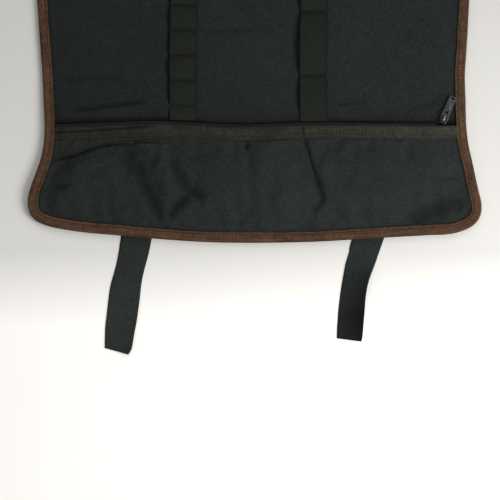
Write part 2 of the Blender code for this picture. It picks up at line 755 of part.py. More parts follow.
def joined_by(piece, others):
    """Union other solids into a piece and keep them as hidden guides."""
    for other in others:
        PIECES.objects.unlink(other)
        CUTTERS.objects.link(other)
        other.hide_render = True
        other.display_type = "WIRE"
        union = piece.modifiers.new("join " + other.name, "BOOLEAN")
        union.operation = "UNION"
        union.object = other


def bridge_sections():
    """The slider's wire bridge, along the slider, from leg to leg."""
    half = BRIDGE_LENGTH / 2
    wire = BRIDGE_WIRE / 2
    width = BRIDGE_WIDTH / 2
    base = SLIDER_HEIGHT
    top = BRIDGE_RISE - wire
    shoulder = BRIDGE_RISE / 4
    path = (
        (-half + wire, -SLIDER_PLATE / 2),
        (-half + wire, top - shoulder),
        (-half + wire + shoulder, top),
        (half - wire - shoulder, top),
        (half - wire, top - shoulder),
        (half - wire, -SLIDER_PLATE / 2),
    )
    leans = (0, pi / 8, 3 * pi / 8, 5 * pi / 8, 7 * pi / 8, pi)
    sections = []
    for (x, z), lean in zip(path, leans):
        stretch = 1 / cos(pi / 8) if 0 < lean < pi else 1
        out_x = -cos(lean) * wire * stretch
        out_z = sin(lean) * wire * stretch
        sections.append([
            (x + out_x, -width, base + z + out_z), (x + out_x, width, base + z + out_z),
            (x - out_x, width, base + z - out_z), (x - out_x, -width, base + z - out_z),
        ])
    return sections


def make_zip_slider(parent, seat):
    """Two plates on a core, with a bridge for the tab; its own X runs along the tab."""
    x, y = slider_place()
    reach = SLIDER_LENGTH / 2
    spots = [(x + dx, y + dy) for dx in (-reach, 0, reach) for dy in (-reach, 0, reach)]
    ground = max(seat.under(*spot) for spot in spots)
    plate = (SLIDER_LENGTH, SLIDER_WIDTH, SLIDER_PLATE)
    slider = box("zip_slider", plate, (0, 0, SLIDER_PLATE / 2), "zip metal", parent,
                 SLIDER_NARROWING)
    top = SLIDER_HEIGHT - SLIDER_PLATE / 2
    upper = box("slider top plate", plate, (0, 0, top), "zip metal", parent,
                SLIDER_NARROWING)
    core_size = (SLIDER_LENGTH * CORE_LENGTH_SHARE, SLIDER_WIDTH * CORE_WIDTH_SHARE,
                 SLIDER_HEIGHT - SLIDER_PLATE)
    core = box("slider core", core_size, (0, 0, SLIDER_HEIGHT / 2), "zip metal", parent)
    bridge = swept("slider bridge", bridge_sections(), "zip metal", parent)
    pieces = [slider, upper, core, bridge]
    for piece in pieces:
        piece.location = (x, y, ground + GAP)
        piece.rotation_euler = (0, 0, SLIDER_TURN)
    joined_by(slider, pieces[1:])
    return slider


def tab_drop(slider, axis, way, bar_reach, seats):
    """How far the tab may hang down before it touches the slider, the cloth or the tape."""
    clear = GAP + TAB_THICKNESS * TAB_ROOM
    slider_top = slider.location.z + SLIDER_HEIGHT
    drops = [atan2(axis.z - slider_top - clear, SLIDER_LENGTH / 2 - bar_reach)]
    for reach in np.linspace(TAB_LENGTH / 2, TAB_LENGTH, 9):
        for offset in np.linspace(-0.5, 0.5, 5) * TAB_WIDTH:
            x = axis.x + way.x * reach - way.y * offset
            y = axis.y + way.y * reach + way.x * offset
            ground = max(seat.under(x, y) for seat in seats)
            drops.append(atan2(axis.z - ground - clear, reach))
    return min(drops)


def make_pull_tab(parent, slider, seats):
    """The flat tab, its origin on the bar that hinges under the slider's bridge."""
    bar_reach = BRIDGE_LENGTH / 2 - BRIDGE_WIRE - TAB_BAR
    way = Vector((cos(SLIDER_TURN), sin(SLIDER_TURN), 0))
    axis = slider.location + way * bar_reach
    axis.z += SLIDER_HEIGHT + BRIDGE_RISE - BRIDGE_WIRE - TAB_BAR
    drop = tab_drop(slider, axis, way, bar_reach, seats)
    curve = bpy.data.curves.new("pull_tab", "CURVE")
    curve.dimensions = "2D"
    curve.fill_mode = "BOTH"
    curve.extrude = TAB_THICKNESS / 2
    rounded_outline(curve, -TAB_BAR / 2, TAB_LENGTH, TAB_WIDTH, TAB_WIDTH / 4)
    slot_width = BRIDGE_WIDTH + 4 * GAP
    rounded_outline(curve, TAB_BAR / 2, TAB_BAR / 2 + TAB_SLOT, slot_width, slot_width / 4)
    eye = TAB_WIDTH / 2
    rounded_outline(curve, TAB_LENGTH - EYE_START_SHARE * eye,
                    TAB_LENGTH - EYE_END_SHARE * eye, eye, EYE_CORNER_SHARE * eye)
    flat = bpy.data.objects.new("pull tab outline", curve)
    PIECES.objects.link(flat)
    bpy.context.view_layer.update()
    solid = flat.evaluated_get(bpy.context.evaluated_depsgraph_get())
    bm = bmesh.new()
    bm.from_mesh(solid.to_mesh())
    bpy.data.objects.remove(flat)
    bmesh.ops.remove_doubles(bm, verts=bm.verts[:], dist=1e-6)
    tab = new_object("pull_tab", bm, "zip metal", parent)
    tab.location = axis
    tab.rotation_euler = Euler((0, drop, SLIDER_TURN), "XYZ")
    return tab


def rounded_outline(curve, start, end, width, radius):
    """A closed outline from start to end along X, with round corners."""
    corners = ((start, -width / 2), (end, -width / 2), (end, width / 2), (start, width / 2))
    inner = ((1, 1), (-1, 1), (-1, -1), (1, -1))
    points = []
    for index, ((x, y), (sx, sy)) in enumerate(zip(corners, inner)):
        for step in range(3):
            angle = pi + index * pi / 2 + step * pi / 4
            points.append((x + sx * radius + radius * cos(angle),
                           y + sy * radius + radius * sin(angle)))
    line = curve.splines.new("POLY")
    line.points.add(len(points) - 1)
    for spot, (x, y) in zip(line.points, points):
        spot.co = (x, y, 0, 1)
    line.use_cyclic_u = True


def centre_on_footprint(carrier):
    """Move the carrier so that the box of all pieces is centred over the origin."""
    bpy.context.view_layer.update()
    corners = [piece.matrix_world @ Vector(corner)
               for piece in PIECES.objects if piece.type == "MESH"
               for corner in piece.bound_box]
    xs = [corner.x for corner in corners]
    ys = [corner.y for corner in corners]
    carrier.location = (-(min(xs) + max(xs)) / 2, -(min(ys) + max(ys)) / 2, 0)


def main():
    carrier = bpy.data.objects.new("roll origin", None)
    PIECES.objects.link(carrier)
    panel = make_main_panel(carrier)
    seat = Seat(panel)
    make_pocket_front(carrier)
    binding = make_edge_binding(carrier)
    make_zip_tape(carrier)
    make_zip_coil(carrier, seat)
    slider = make_zip_slider(carrier, seat)
    make_pull_tab(carrier, slider, (seat, Seat(binding)))
    make_loop_webbing("loop_webbing_left", TOOL_COLUMN, TOOL_START, TOOL_PITCH, TOOL_RISE,
                      TOOL_STEPS, carrier, seat)
    make_loop_webbing("loop_webbing_right", BLADE_COLUMN, BLADE_START, BLADE_PITCH,
                      BLADE_RISE, BLADE_STEPS, carrier, seat)
    make_strap("strap_left", STRAP_LEFT, LEFT_STRAP_ROWS, carrier)
    make_strap("strap_right", STRAP_RIGHT, RIGHT_STRAP_ROWS, carrier)
    centre_on_footprint(carrier)
    bpy.context.view_layer.update()


for old in list(bpy.data.objects):
    bpy.data.objects.remove(old)
PIECES = bpy.data.collections.new("chef knife roll")
CUTTERS = bpy.data.collections.new("cutters")
bpy.context.scene.collection.children.link(PIECES)
bpy.context.scene.collection.children.link(CUTTERS)
main()
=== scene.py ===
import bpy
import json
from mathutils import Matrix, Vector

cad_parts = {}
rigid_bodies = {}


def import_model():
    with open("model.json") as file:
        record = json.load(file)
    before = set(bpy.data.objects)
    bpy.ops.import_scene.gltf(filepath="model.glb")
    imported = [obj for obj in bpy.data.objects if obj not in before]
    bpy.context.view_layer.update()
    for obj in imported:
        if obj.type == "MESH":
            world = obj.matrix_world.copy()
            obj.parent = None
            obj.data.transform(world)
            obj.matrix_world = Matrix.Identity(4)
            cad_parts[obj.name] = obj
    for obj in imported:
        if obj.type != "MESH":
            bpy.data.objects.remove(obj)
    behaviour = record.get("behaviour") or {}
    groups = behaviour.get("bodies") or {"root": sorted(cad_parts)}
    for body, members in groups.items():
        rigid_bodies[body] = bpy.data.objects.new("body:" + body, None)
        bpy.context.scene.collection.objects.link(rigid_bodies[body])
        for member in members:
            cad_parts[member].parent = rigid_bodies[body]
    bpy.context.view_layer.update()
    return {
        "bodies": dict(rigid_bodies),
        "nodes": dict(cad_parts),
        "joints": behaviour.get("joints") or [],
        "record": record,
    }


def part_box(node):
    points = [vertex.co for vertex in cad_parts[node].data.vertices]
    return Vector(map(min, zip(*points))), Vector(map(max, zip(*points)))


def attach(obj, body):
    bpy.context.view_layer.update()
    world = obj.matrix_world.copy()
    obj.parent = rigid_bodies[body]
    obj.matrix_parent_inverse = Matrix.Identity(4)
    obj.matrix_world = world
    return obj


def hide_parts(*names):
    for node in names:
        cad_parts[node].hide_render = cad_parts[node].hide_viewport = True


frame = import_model()

import json
from collections import namedtuple
from math import cos, pi, radians, sin, tan

import bmesh
import bpy
import numpy as np
from mathutils import Matrix, Vector, noise
from mathutils.bvhtree import BVHTree

bl_info = {
    "name": "Chef Knife Roll",
    "version": (1, 0, 0),
    "blender": (4, 5, 0),
    "location": "View3D > Sidebar > Knife Roll",
    "description": "Dresses an open chef knife roll in cloth, binding, zip, webbing and straps",
    "category": "Object",
}

MM = 0.001

# One pixel of the photograph at the cloth, and the pixel of the middle of the pocket end
PIXEL = 1.04 * MM
PHOTO_MIDDLE = 254.3
PHOTO_END = 243.0
PHOTO_CENTRE = (249.6, 250.0)
PHOTO_WIDTH = 500.0

# Sizes that the frame gives
BINDING_LOW, BINDING_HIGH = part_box("edge_binding")
ROLL_END = BINDING_LOW.y
FAR_END = BINDING_HIGH.y
COIL_LOW, COIL_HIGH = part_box("zip_coil")
TAPE_LOW, TAPE_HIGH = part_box("zip_tape")
HINGE = frame["joints"][0]

BODY = "roll"
TAB_BODY = "tab"


class RollSizes(bpy.types.PropertyGroup):
    """Sizes of the cloth, the tapes and the stitching."""

    binding_width: bpy.props.FloatProperty(
        name="Binding Width", description="How far the binding reaches onto the cloth",
        default=10.8 * MM, subtype="DISTANCE", unit="LENGTH")
    binding_cloth: bpy.props.FloatProperty(
        name="Binding Cloth", description="Thickness of the binding tape",
        default=0.9 * MM, subtype="DISTANCE", unit="LENGTH")
    panel_cloth: bpy.props.FloatProperty(
        name="Panel Thickness", description="Thickness of the padded body",
        default=3.3 * MM, subtype="DISTANCE", unit="LENGTH")
    pocket_cloth: bpy.props.FloatProperty(
        name="Pocket Cloth", description="Thickness of the pocket's front",
        default=1.2 * MM, subtype="DISTANCE", unit="LENGTH")
    webbing_cloth: bpy.props.FloatProperty(
        name="Webbing Thickness", description="Thickness of the loop webbing",
        default=1.3 * MM, subtype="DISTANCE", unit="LENGTH")
    strap_width: bpy.props.FloatProperty(
        name="Strap Width", description="Width of a closing strap",
        default=30.5 * MM, subtype="DISTANCE", unit="LENGTH")
    strap_cloth: bpy.props.FloatProperty(
        name="Strap Thickness", description="Thickness of a closing strap",
        default=1.5 * MM, subtype="DISTANCE", unit="LENGTH")
    stitch: bpy.props.FloatProperty(
        name="Stitch Length", description="From one stitch to the next",
        default=3.2 * MM, subtype="DISTANCE", unit="LENGTH")
    thread: bpy.props.FloatProperty(
        name="Thread Radius", description="Half the sewing thread's thickness",
        default=0.28 * MM, subtype="DISTANCE", unit="LENGTH")
    coil_pitch: bpy.props.FloatProperty(
        name="Coil Pitch", description="From one tooth of the zip to the next",
        default=1.3 * MM, subtype="DISTANCE", unit="LENGTH")


class RollColours(bpy.types.PropertyGroup):
    """Colours of the cloths, the tapes, the coil, the metal and the floor."""

    body: bpy.props.FloatVectorProperty(
        name="Body Cloth", description="Charcoal of the panel and the pocket",
        default=(0.0165, 0.0203, 0.0187), subtype="COLOR", min=0, max=1)
    webbing: bpy.props.FloatVectorProperty(
        name="Webbing", description="Olive black of the loops",
        default=(0.0100, 0.0126, 0.0091), subtype="COLOR", min=0, max=1)
    strap: bpy.props.FloatVectorProperty(
        name="Strap Cloth", description="Charcoal of the closing straps",
        default=(0.0188, 0.0228, 0.0207), subtype="COLOR", min=0, max=1)
    binding: bpy.props.FloatVectorProperty(
        name="Binding Tape", description="Brown of the bound edge",
        default=(0.0680, 0.0362, 0.0199), subtype="COLOR", min=0, max=1)
    zip_tape: bpy.props.FloatVectorProperty(
        name="Zip Tape", description="Brownish band along the pocket's mouth",
        default=(0.0189, 0.0205, 0.0153), subtype="COLOR", min=0, max=1)
    coil: bpy.props.FloatVectorProperty(
        name="Zip Coil", description="Black of the zip's teeth",
        default=(0.0045, 0.0048, 0.0045), subtype="COLOR", min=0, max=1)
    metal: bpy.props.FloatVectorProperty(
        name="Zip Metal", description="Grey of the slider and its tab",
        default=(0.0700, 0.0740, 0.0720), subtype="COLOR", min=0, max=1)
    floor: bpy.props.FloatVectorProperty(
        name="Floor", description="Plain pale floor",
        default=(0.9300, 0.9080, 0.8680), subtype="COLOR", min=0, max=1)


def sizes():
    return bpy.context.scene.roll_sizes


def colours():
    return bpy.context.scene.roll_colours


# Shader maths

class Wire:
    """A socket that takes part in sums."""

    def __init__(self, finish, socket):
        self.finish = finish
        self.socket = socket

    def math(self, operation, first, second=None):
        return self.finish.node("ShaderNodeMath", {"operation": operation}, first, second)

    def __add__(self, other):
        return self.math("ADD", self, other)

    __radd__ = __add__

    def __mul__(self, other):
        return self.math("MULTIPLY", self, other)

    __rmul__ = __mul__

    def __sub__(self, other):
        return self.math("SUBTRACT", self, other)

    def __rsub__(self, other):
        return self.math("SUBTRACT", other, self)

    def __pow__(self, other):
        return self.math("POWER", self, other)

    def sine(self):
        return self.math("SINE", self)

    def size(self):
        return self.math("ABSOLUTE", self)

    def above(self, other):
        return self.math("MAXIMUM", self, other)

    def clamp(self, low, high):
        return self.math("MINIMUM", self.math("MAXIMUM", self, low), high)


class Finish:
    """One procedural material and the nodes that feed its shader."""

    def __init__(self, name, metallic=0.0, gloss=0.5):
        self.material = bpy.data.materials.new(name)
        self.material.use_nodes = True
        self.tree = self.material.node_tree
        self.shader = self.tree.nodes["Principled BSDF"]
        self.shader.inputs["Metallic"].default_value = metallic
        self.shader.inputs["Specular IOR Level"].default_value = gloss

    def node(self, kind, settings, *values, out=0, **named):
        """Add a node: its settings first, then values or wires for its sockets."""
        made = self.tree.nodes.new(kind)
        for key, value in settings.items():
            setattr(made, key, value)
        for key, value in [*enumerate(values), *named.items()]:
            if value is None:
                continue
            socket = made.inputs[key if isinstance(key, int) else key.replace("_", " ")]
            if isinstance(value, Wire):
                self.tree.links.new(value.socket, socket)
            else:
                socket.default_value = value
        return Wire(self, made.outputs[out])

    def place(self):
        return self.node("ShaderNodeTexCoord", {}, out="Object")

    def weave_map(self):
        return self.node("ShaderNodeUVMap", {"uv_map": "weave"})

    def axes(self, vector):
        return [self.node("ShaderNodeSeparateXYZ", {}, vector, out=k) for k in range(3)]

    def stretched(self, vector, scale):
        return self.node("ShaderNodeVectorMath", {"operation": "MULTIPLY"}, vector, scale)

    def noise(self, vector, scale, detail=3.0, rough=0.55):
        return self.node("ShaderNodeTexNoise", {}, Vector=vector, Scale=scale,
                         Detail=detail, Roughness=rough)

    def shade(self, colour, factor):
        """A colour made darker or lighter by a wire round 1."""
        grey = self.node("ShaderNodeCombineXYZ", {}, factor, factor, factor)
        return self.node("ShaderNodeVectorMath", {"operation": "MULTIPLY"}, colour, grey)

    def blend(self, factor, first, second):
        mixed = self.tree.nodes.new("ShaderNodeMix")
        mixed.data_type = "RGBA"
        for key, value in ((0, factor), (6, first), (7, second)):
            if isinstance(value, Wire):
                self.tree.links.new(value.socket, mixed.inputs[key])
            elif key:
                mixed.inputs[key].default_value = (*value, 1.0)
            else:
                mixed.inputs[key].default_value = value
        return Wire(self, mixed.outputs[2])

    def feed(self, colour=None, roughness=None, height=None, depth=0.0002, metallic=None):
        """Join the finished wires to the shader."""
        wired = (("Base Color", colour), ("Roughness", roughness), ("Metallic", metallic))
        for key, value in wired:
            if isinstance(value, Wire):
                self.tree.links.new(value.socket, self.shader.inputs[key])
            elif value is not None:
                self.shader.inputs[key].default_value = value
        if height is not None:
            bump = self.node("ShaderNodeBump", {}, Strength=1.0, Distance=depth,
                             Height=height)
            self.tree.links.new(bump.socket, self.shader.inputs["Normal"])
        return self.material


def once(maker):
    """Keep one copy of a material for all pieces that share it."""
    kept = {}

    def keeper(*args):
        if args not in kept:
            kept[args] = maker(*args)
        return kept[args]
    return keeper


def uneven(finish, place, *layers):
    """1, more or less, from layers of noise that are each a share and two scales."""
    total = 1.0
    for share, scale_x, scale_y in layers:
        spread = finish.stretched(place, (scale_x, scale_y, 1.0))
        total = total + (finish.noise(spread, 1.0, 3.0, 0.62) - 0.5) * share
    return total


@once
def woven_cloth(name, colour_name, yarn_mm, streak, painted_light_and_tone=1.0, painted_falloff=0.0, hem_name=None):
    """Plain weave with thick and thin yarns, faint streaks, worn, dusty patches, painted shade
    and painted light.
    """
    finish = Finish(name, gloss=0.10)
    place = finish.weave_map()
    x, y, _ = finish.axes(place)
    wobble = finish.noise(place, 90.0, 2.0) * 0.6
    turns = 2 * pi / (yarn_mm * MM)
    warp = (x * turns + wobble).sine()
    weft = (y * turns + wobble).sine()
    crossing = (x * (turns / 2)).sine() * (y * (turns / 2)).sine()
    over = (crossing * 4.0).clamp(-1.0, 1.0)
    yarns = (over * 0.5 + 0.5) * warp.size() + (0.5 - over * 0.5) * weft.size()
    slubs = uneven(finish, place, (streak, 90.0, 820.0), (streak * 0.6, 820.0, 110.0))
    dust = uneven(finish, place, (0.42, 14.0, 14.0), (0.4, 75.0, 60.0),
                  (1.2, 760.0, 240.0), (1.2, 240.0, 760.0))
    # The crease attribute holds painted shade: darker in creases, grooves and along seams and
    # edges.
    painted_shade = finish.node("ShaderNodeAttribute", {"attribute_name": "crease"}, out="Fac")
    # The last factor paints a light level for each piece of this cloth.
    light = (yarns * 0.24 + 0.85) * slubs * dust * (1.0 - painted_shade * 0.6) * painted_light_and_tone
    # Painted light: the cloth is darker towards the left.
    if painted_falloff:
        to_right = finish.axes(finish.place())[0]
        light = light * (0.97 + to_right * painted_falloff).clamp(0.85, 1.0)
    base = (*getattr(colours(), colour_name),)
    if hem_name:
        hem = finish.node("ShaderNodeAttribute", {"attribute_name": "hem"}, out="Fac")
        base = finish.blend(hem, base, (*getattr(colours(), hem_name),))
    colour = finish.shade(base, light)
    return finish.feed(colour, 0.86, yarns * 0.5 + slubs * 1.5, 0.14 * MM)


@once
def ribbed_tape(name, colour_name, rib_mm, across, mottle, ribbing=0.24, streak=0.0,
                painted_falloff=0.0):
    """Tape with ribs across or along it, uneven dye, streaks along its length, painted shade
    and painted light.
    """
    finish = Finish(name, gloss=0.12)
    place = finish.weave_map()
    x, y, _ = finish.axes(place)
    run, other = (x, y) if across else (y, x)
    ribs = (run * (2 * pi / (rib_mm * MM))).sine() * 0.5 + 0.5
    grain = (other * (2 * pi / (0.7 * MM))).sine() * 0.5 + 0.5
    fine, coarse = (620.0, 170.0) if across else (170.0, 620.0)
    fibres = uneven(finish, place, (mottle * 1.5, fine, coarse), (mottle, 900.0, 900.0))
    dye = uneven(finish, place, (mottle, 36.0, 48.0), (mottle * 0.9, 150.0, 150.0),
                 (streak, 24.0, 380.0))
    # The crease attribute holds painted shade: darker in grooves and along seams and edges.
    painted_shade = finish.node("ShaderNodeAttribute", {"attribute_name": "crease"}, out="Fac")
    plain = 0.96 - ribbing / 2
    light = (ribs * ribbing + grain * 0.08 + plain) * fibres * dye * (1.0 - painted_shade * 0.75)
    # Painted light: the tape is lighter towards the right and a little darker towards the left.
    if painted_falloff:
        to_right = finish.axes(finish.place())[0]
        lit = ((to_right - 0.02) * painted_falloff).above(0.0)
        light = light * (1.0 + lit + (to_right + 0.03).clamp(-0.12, 0.0))
    colour = finish.shade((*getattr(colours(), colour_name),), light)
    height = ribs * (grain * 0.4 + 0.6) + fibres * 1.5
    return finish.feed(colour, 0.82, height, 0.18 * MM)


@once
def sewing_thread(name, colour):
    finish = Finish(name, gloss=0.15)
    place = finish.place()
    twist = finish.noise(place, 900.0, 2.0)
    return finish.feed(finish.shade(colour, 0.7 + twist * 0.6), 0.6)


@once
def coil_nylon():
    finish = Finish("coil nylon", gloss=0.3)
    patches = finish.noise(finish.place(), 300.0, 2.0)
    return finish.feed(finish.shade((*colours().coil,), 0.7 + patches * 0.6),
                       0.35 + patches * 0.25)


@once
def gunmetal(name, light, rough):
    """Lacquered zinc with a fine grain, small painted glints and a painted light level for each
    part.
    """
    finish = Finish(name, metallic=0.85)
    place = finish.place()
    grain = finish.noise(place, 1400.0, 3.0)
    glint_noise = finish.noise(place, 260.0, 4.0, 0.7)
    # Painted glints: small bright patches that are also smoother.
    painted_glints = ((glint_noise - 0.52) * 6.0).clamp(0.0, 1.0)
    painted_light_and_tone = light * (0.75 + grain * 0.3 + painted_glints * 1.6)
    colour = finish.shade((*colours().metal,), painted_light_and_tone)
    return finish.feed(colour, rough + grain * 0.15 - painted_glints * 0.10, grain, 0.02 * MM)


# Points, outlines and heights

def smooth(value):
    value = np.clip(value, 0.0, 1.0)
    return value * value * (3.0 - 2.0 * value)


def spot(px, py):
    """The place on the roll that a pixel of the photograph shows."""
    return np.array([(px - PHOTO_MIDDLE) * PIXEL, (PHOTO_END - py) * PIXEL + ROLL_END])


def spline(rows, closed=False, per_span=16):
    """A smooth polyline through rows of coordinates."""
    rows = np.asarray(rows, float)
    if closed:
        rows = np.vstack([rows[-1:], rows, rows[:2]])
    else:
        rows = np.vstack([2 * rows[0] - rows[1], rows, 2 * rows[-1] - rows[-2]])
    share = (np.arange(per_span) / per_span)[:, None]
    points = []
    for p0, p1, p2, p3 in zip(rows, rows[1:], rows[2:], rows[3:]):
        points.append(0.5 * (2 * p1 + (p2 - p0) * share
                             + (2 * p0 - 5 * p1 + 4 * p2 - p3) * share ** 2
                             + (3 * p1 - p0 - 3 * p2 + p3) * share ** 3))
    if not closed:
        points.append(rows[-2:-1])
    return np.vstack(points)


def lengths(points):
    step = np.linalg.norm(np.diff(points, axis=0), axis=1)
    return np.concatenate([[0.0], np.cumsum(step)])


def resample(points, shares):
    """Points of a polyline at shares of its length."""
    run = lengths(points)
    at = np.asarray(shares) * run[-1]
    return np.stack([np.interp(at, run, points[:, k]) for k in range(points.shape[1])], 1)


class Border:
    """The roll's outline, read from the binding node as an even closed polyline."""

    # Longer straight spans of the node are divided into spans of about this length
    SPAN = 30 * MM

    def __init__(self, count=2400):
        stacks = {}
        for vertex in frame["nodes"]["edge_binding"].data.vertices:
            key = (round(vertex.co.x, 5), round(vertex.co.y, 5))
            stacks.setdefault(key, set()).add(round(vertex.co.z, 4))
        outer = np.array([key for key, heights in stacks.items() if len(heights) == 2])
        middle = np.array([0.0, (ROLL_END + FAR_END) / 2])
        turn = np.arctan2(*(outer - middle).T[::-1])
        ring = outer[np.argsort(turn)]
        following = np.roll(ring, -1, axis=0)
        steps = np.rint(np.linalg.norm(following - ring, axis=1) / self.SPAN)
        line = np.concatenate([
            np.linspace(start, end, max(1, int(spans)), endpoint=False)
            for start, end, spans in zip(ring, following, steps)])
        line = spline(line, closed=True)
        line = np.vstack([line, line[:1]])
        self.points = resample(line, np.arange(count) / count)
        ahead = np.roll(self.points, -3, axis=0) - np.roll(self.points, 3, axis=0)
        self.inward = np.stack([-ahead[:, 1], ahead[:, 0]], 1)
        self.inward /= np.linalg.norm(self.inward, axis=1)[:, None]
        self.count = count

    def corner(self, side, end):
        return int(np.argmax(self.points @ np.array([side, end])))

    def side_at(self, side, y):
        off = np.abs(self.points[:, 1] - y) + (self.points[:, 0] * side < 0) * 10.0
        return int(np.argmin(off))

    def inset_run(self, first, last, shares, depth):
        """Stations from one index on to another, moved inwards."""
        if last < first:
            last += self.count
        index = np.arange(first, last + 1) % self.count
        line = self.points[index] + self.inward[index] * depth
        return resample(line, shares)

    def distance(self, points):
        """How far points lie inside the outline."""
        flat = points.reshape(-1, 2)
        outline = self.points[::4]
        found = np.concatenate([
            np.linalg.norm(part[:, None] - outline[None], axis=2).min(axis=1)
            for part in np.array_split(flat, max(1, len(flat) // 4000))])
        return found.reshape(points.shape[:-1])


def patch(bottom, top, left, right):
    """Fill four edges that meet at their ends with a grid of points."""
    u = lengths(bottom) / lengths(bottom)[-1]
    v = lengths(left) / lengths(left)[-1]
    u, v = u[:, None, None], v[None, :, None]
    corners = ((1 - u) * (1 - v) * bottom[0] + u * (1 - v) * bottom[-1]
               + (1 - u) * v * top[0] + u * v * top[-1])
    return ((1 - v) * bottom[:, None] + v * top[:, None]
            + (1 - u) * left[None] + u * right[None] - corners)


class Ground:
    """Heights of the CAD nodes' upper sides."""

    def __init__(self, *names):
        self.trees = []
        for name in names:
            bm = bmesh.new()
            bm.from_mesh(frame["nodes"][name].data)
            self.trees.append(BVHTree.FromBMesh(bm))
            bm.free()

    def height(self, x, y):
        tops = [tree.ray_cast(Vector((x, y, 1.0)), Vector((0, 0, -1)))[0]
                for tree in self.trees]
        return max((top.z for top in tops if top), default=np.nan)

    def under(self, plan):
        flat = plan.reshape(-1, 2)
        heights = np.array([self.height(*point) for point in flat])
        heights = heights.reshape(plan.shape[:-1])
        while np.isnan(heights).any():
            for axis in (0, 1):
                for step in (1, -1):
                    near = np.roll(heights, step, axis=axis)
                    heights = np.where(np.isnan(heights), near, heights)
        return heights


def relaxed(heights, times):
    """Even out the facets of a grid of heights, its rim kept."""
    for _ in range(times):
        middle = (heights[2:, 1:-1] + heights[:-2, 1:-1]
                  + heights[1:-1, 2:] + heights[1:-1, :-2]) / 4
        heights = heights.copy()
        heights[1:-1, 1:-1] = (heights[1:-1, 1:-1] + middle) / 2
    return heights


def ripple(points, size_x, size_y, seed):
    """Soft random waves of about the given lengths, from -1 to 1."""
    flat = points.reshape(-1, 2)
    values = [noise.noise(Vector((x / size_x, y / size_y, seed))) for x, y in flat]
    return np.array(values).reshape(points.shape[:-1]) * 1.6


# path is in the photograph's pixels, near and far are the crease's widths left and right
# of that path in pixels, height is in millimetres, minus for a valley, dark is how much
# shade is painted into it, and ends is how many pixels it takes to fade at its ends
Crease = namedtuple("Crease", "path near far height dark ends")


def crease_heights(points, creases):
    """Sum of creases at points of the roll in metres, and the shade painted into their valleys.
    """
    total = np.zeros(points.shape[:-1])
    shade = np.zeros(points.shape[:-1])
    for crease in creases:
        line = spline([spot(*pixel) for pixel in crease.path], per_span=6)
        run = lengths(line)
        best = np.full(total.shape, np.inf)
        signed, travelled = np.zeros(total.shape), np.zeros(total.shape)
        for start, end, before in zip(line, line[1:], run):
            way = end - start
            reach = np.linalg.norm(way)
            off = points - start
            along = np.clip((off @ way) / reach ** 2, 0.0, 1.0)
            away = off - along[..., None] * way
            gap = np.linalg.norm(away, axis=-1)
            side = np.sign(way[0] * off[..., 1] - way[1] * off[..., 0])
            closer = gap < best
            best = np.where(closer, gap, best)
            signed = np.where(closer, side, signed)
            travelled = np.where(closer, before + along * reach, travelled)
        width = np.where(signed > 0, crease.near, crease.far) * PIXEL
        fade = crease.ends * PIXEL
        body = smooth(travelled / fade) * smooth((run[-1] - travelled) / fade)
        form = np.exp(-(best / width) ** 2) * body
        total += crease.height * MM * form
        shade = np.maximum(shade, form * crease.dark)
    return total, shade


# Meshes

def new_piece(name, mesh, material, body=BODY):
    mesh.materials.append(material)
    mesh.shade_smooth()
    piece = bpy.data.objects.new(name, mesh)
    bpy.context.scene.collection.objects.link(piece)
    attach(piece, body)
    return piece


def grid(name, columns, rows):
    """A mesh grid and the column and row of each vertex."""
    bm = bmesh.new()
    bmesh.ops.create_grid(bm, x_segments=columns, y_segments=rows, size=1.0)
    mesh = bpy.data.meshes.new(name)
    bm.to_mesh(mesh)
    bm.free()
    flat = np.zeros(len(mesh.vertices) * 3)
    mesh.vertices.foreach_get("co", flat)
    flat = flat.reshape(-1, 3)
    column = np.rint((flat[:, 0] + 1) / 2 * columns).astype(int)
    row = np.rint((flat[:, 1] + 1) / 2 * rows).astype(int)
    return mesh, column, row


def write_weave(mesh, per_vertex):
    """Store a UV map in metres, so that yarns keep their size on every piece."""
    corner = np.zeros(len(mesh.loops), int)
    mesh.loops.foreach_get("vertex_index", corner)
    layer = mesh.uv_layers.new(name="weave")
    layer.data.foreach_set("uv", per_vertex[corner].ravel())


def write_share(mesh, name, values):
    """Store a share from 0 to 1 for each vertex, which a material reads."""
    mesh.attributes.new(name, "FLOAT", "POINT").data.foreach_set("value", values)


def cloth_sheet(name, plan, over, shade, hem=None):
    """An upper cloth surface on a plan grid; Solidify gives it its thickness."""
    mesh, column, row = grid(name, plan.shape[0] - 1, plan.shape[1] - 1)
    flat = np.concatenate([plan, over[..., None]], axis=2)[column, row]
    mesh.vertices.foreach_set("co", flat.ravel())
    write_weave(mesh, flat[:, :2])
    # The crease attribute carries the shade that is painted into the cloth's colour.
    write_share(mesh, "crease", shade[column, row])
    if hem is not None:
        write_share(mesh, "hem", hem[column, row])
    mesh.update()
    return mesh


def skin(name, sections, weave, closed=False, shade=None):
    """A skin over an array of sections: stations, then points round each section."""
    stations, sides = sections.shape[:2]
    mesh, column, row = grid(name, stations if closed else stations - 1, sides)
    mesh.vertices.foreach_set("co", sections[column % stations, row % sides].ravel())
    write_weave(mesh, weave[column, row])
    if shade is not None:
        # The crease attribute carries the shade that is painted into the piece's colour.
        write_share(mesh, "crease", shade[column % stations, row % sides])
    bm = bmesh.new()
    bm.from_mesh(mesh)
    bmesh.ops.remove_doubles(bm, verts=bm.verts[:], dist=0.00001 * MM)
    if not closed:
        rims = [edge for edge in bm.edges if edge.is_boundary]
        bmesh.ops.holes_fill(bm, edges=rims, sides=sides)
    bmesh.ops.recalc_face_normals(bm, faces=bm.faces[:])
    bm.to_mesh(mesh)
    bm.free()
    return mesh


def thicken(piece, depth):
    wall = piece.modifiers.new("cloth", "SOLIDIFY")
    wall.thickness = depth
    wall.offset = -1.0


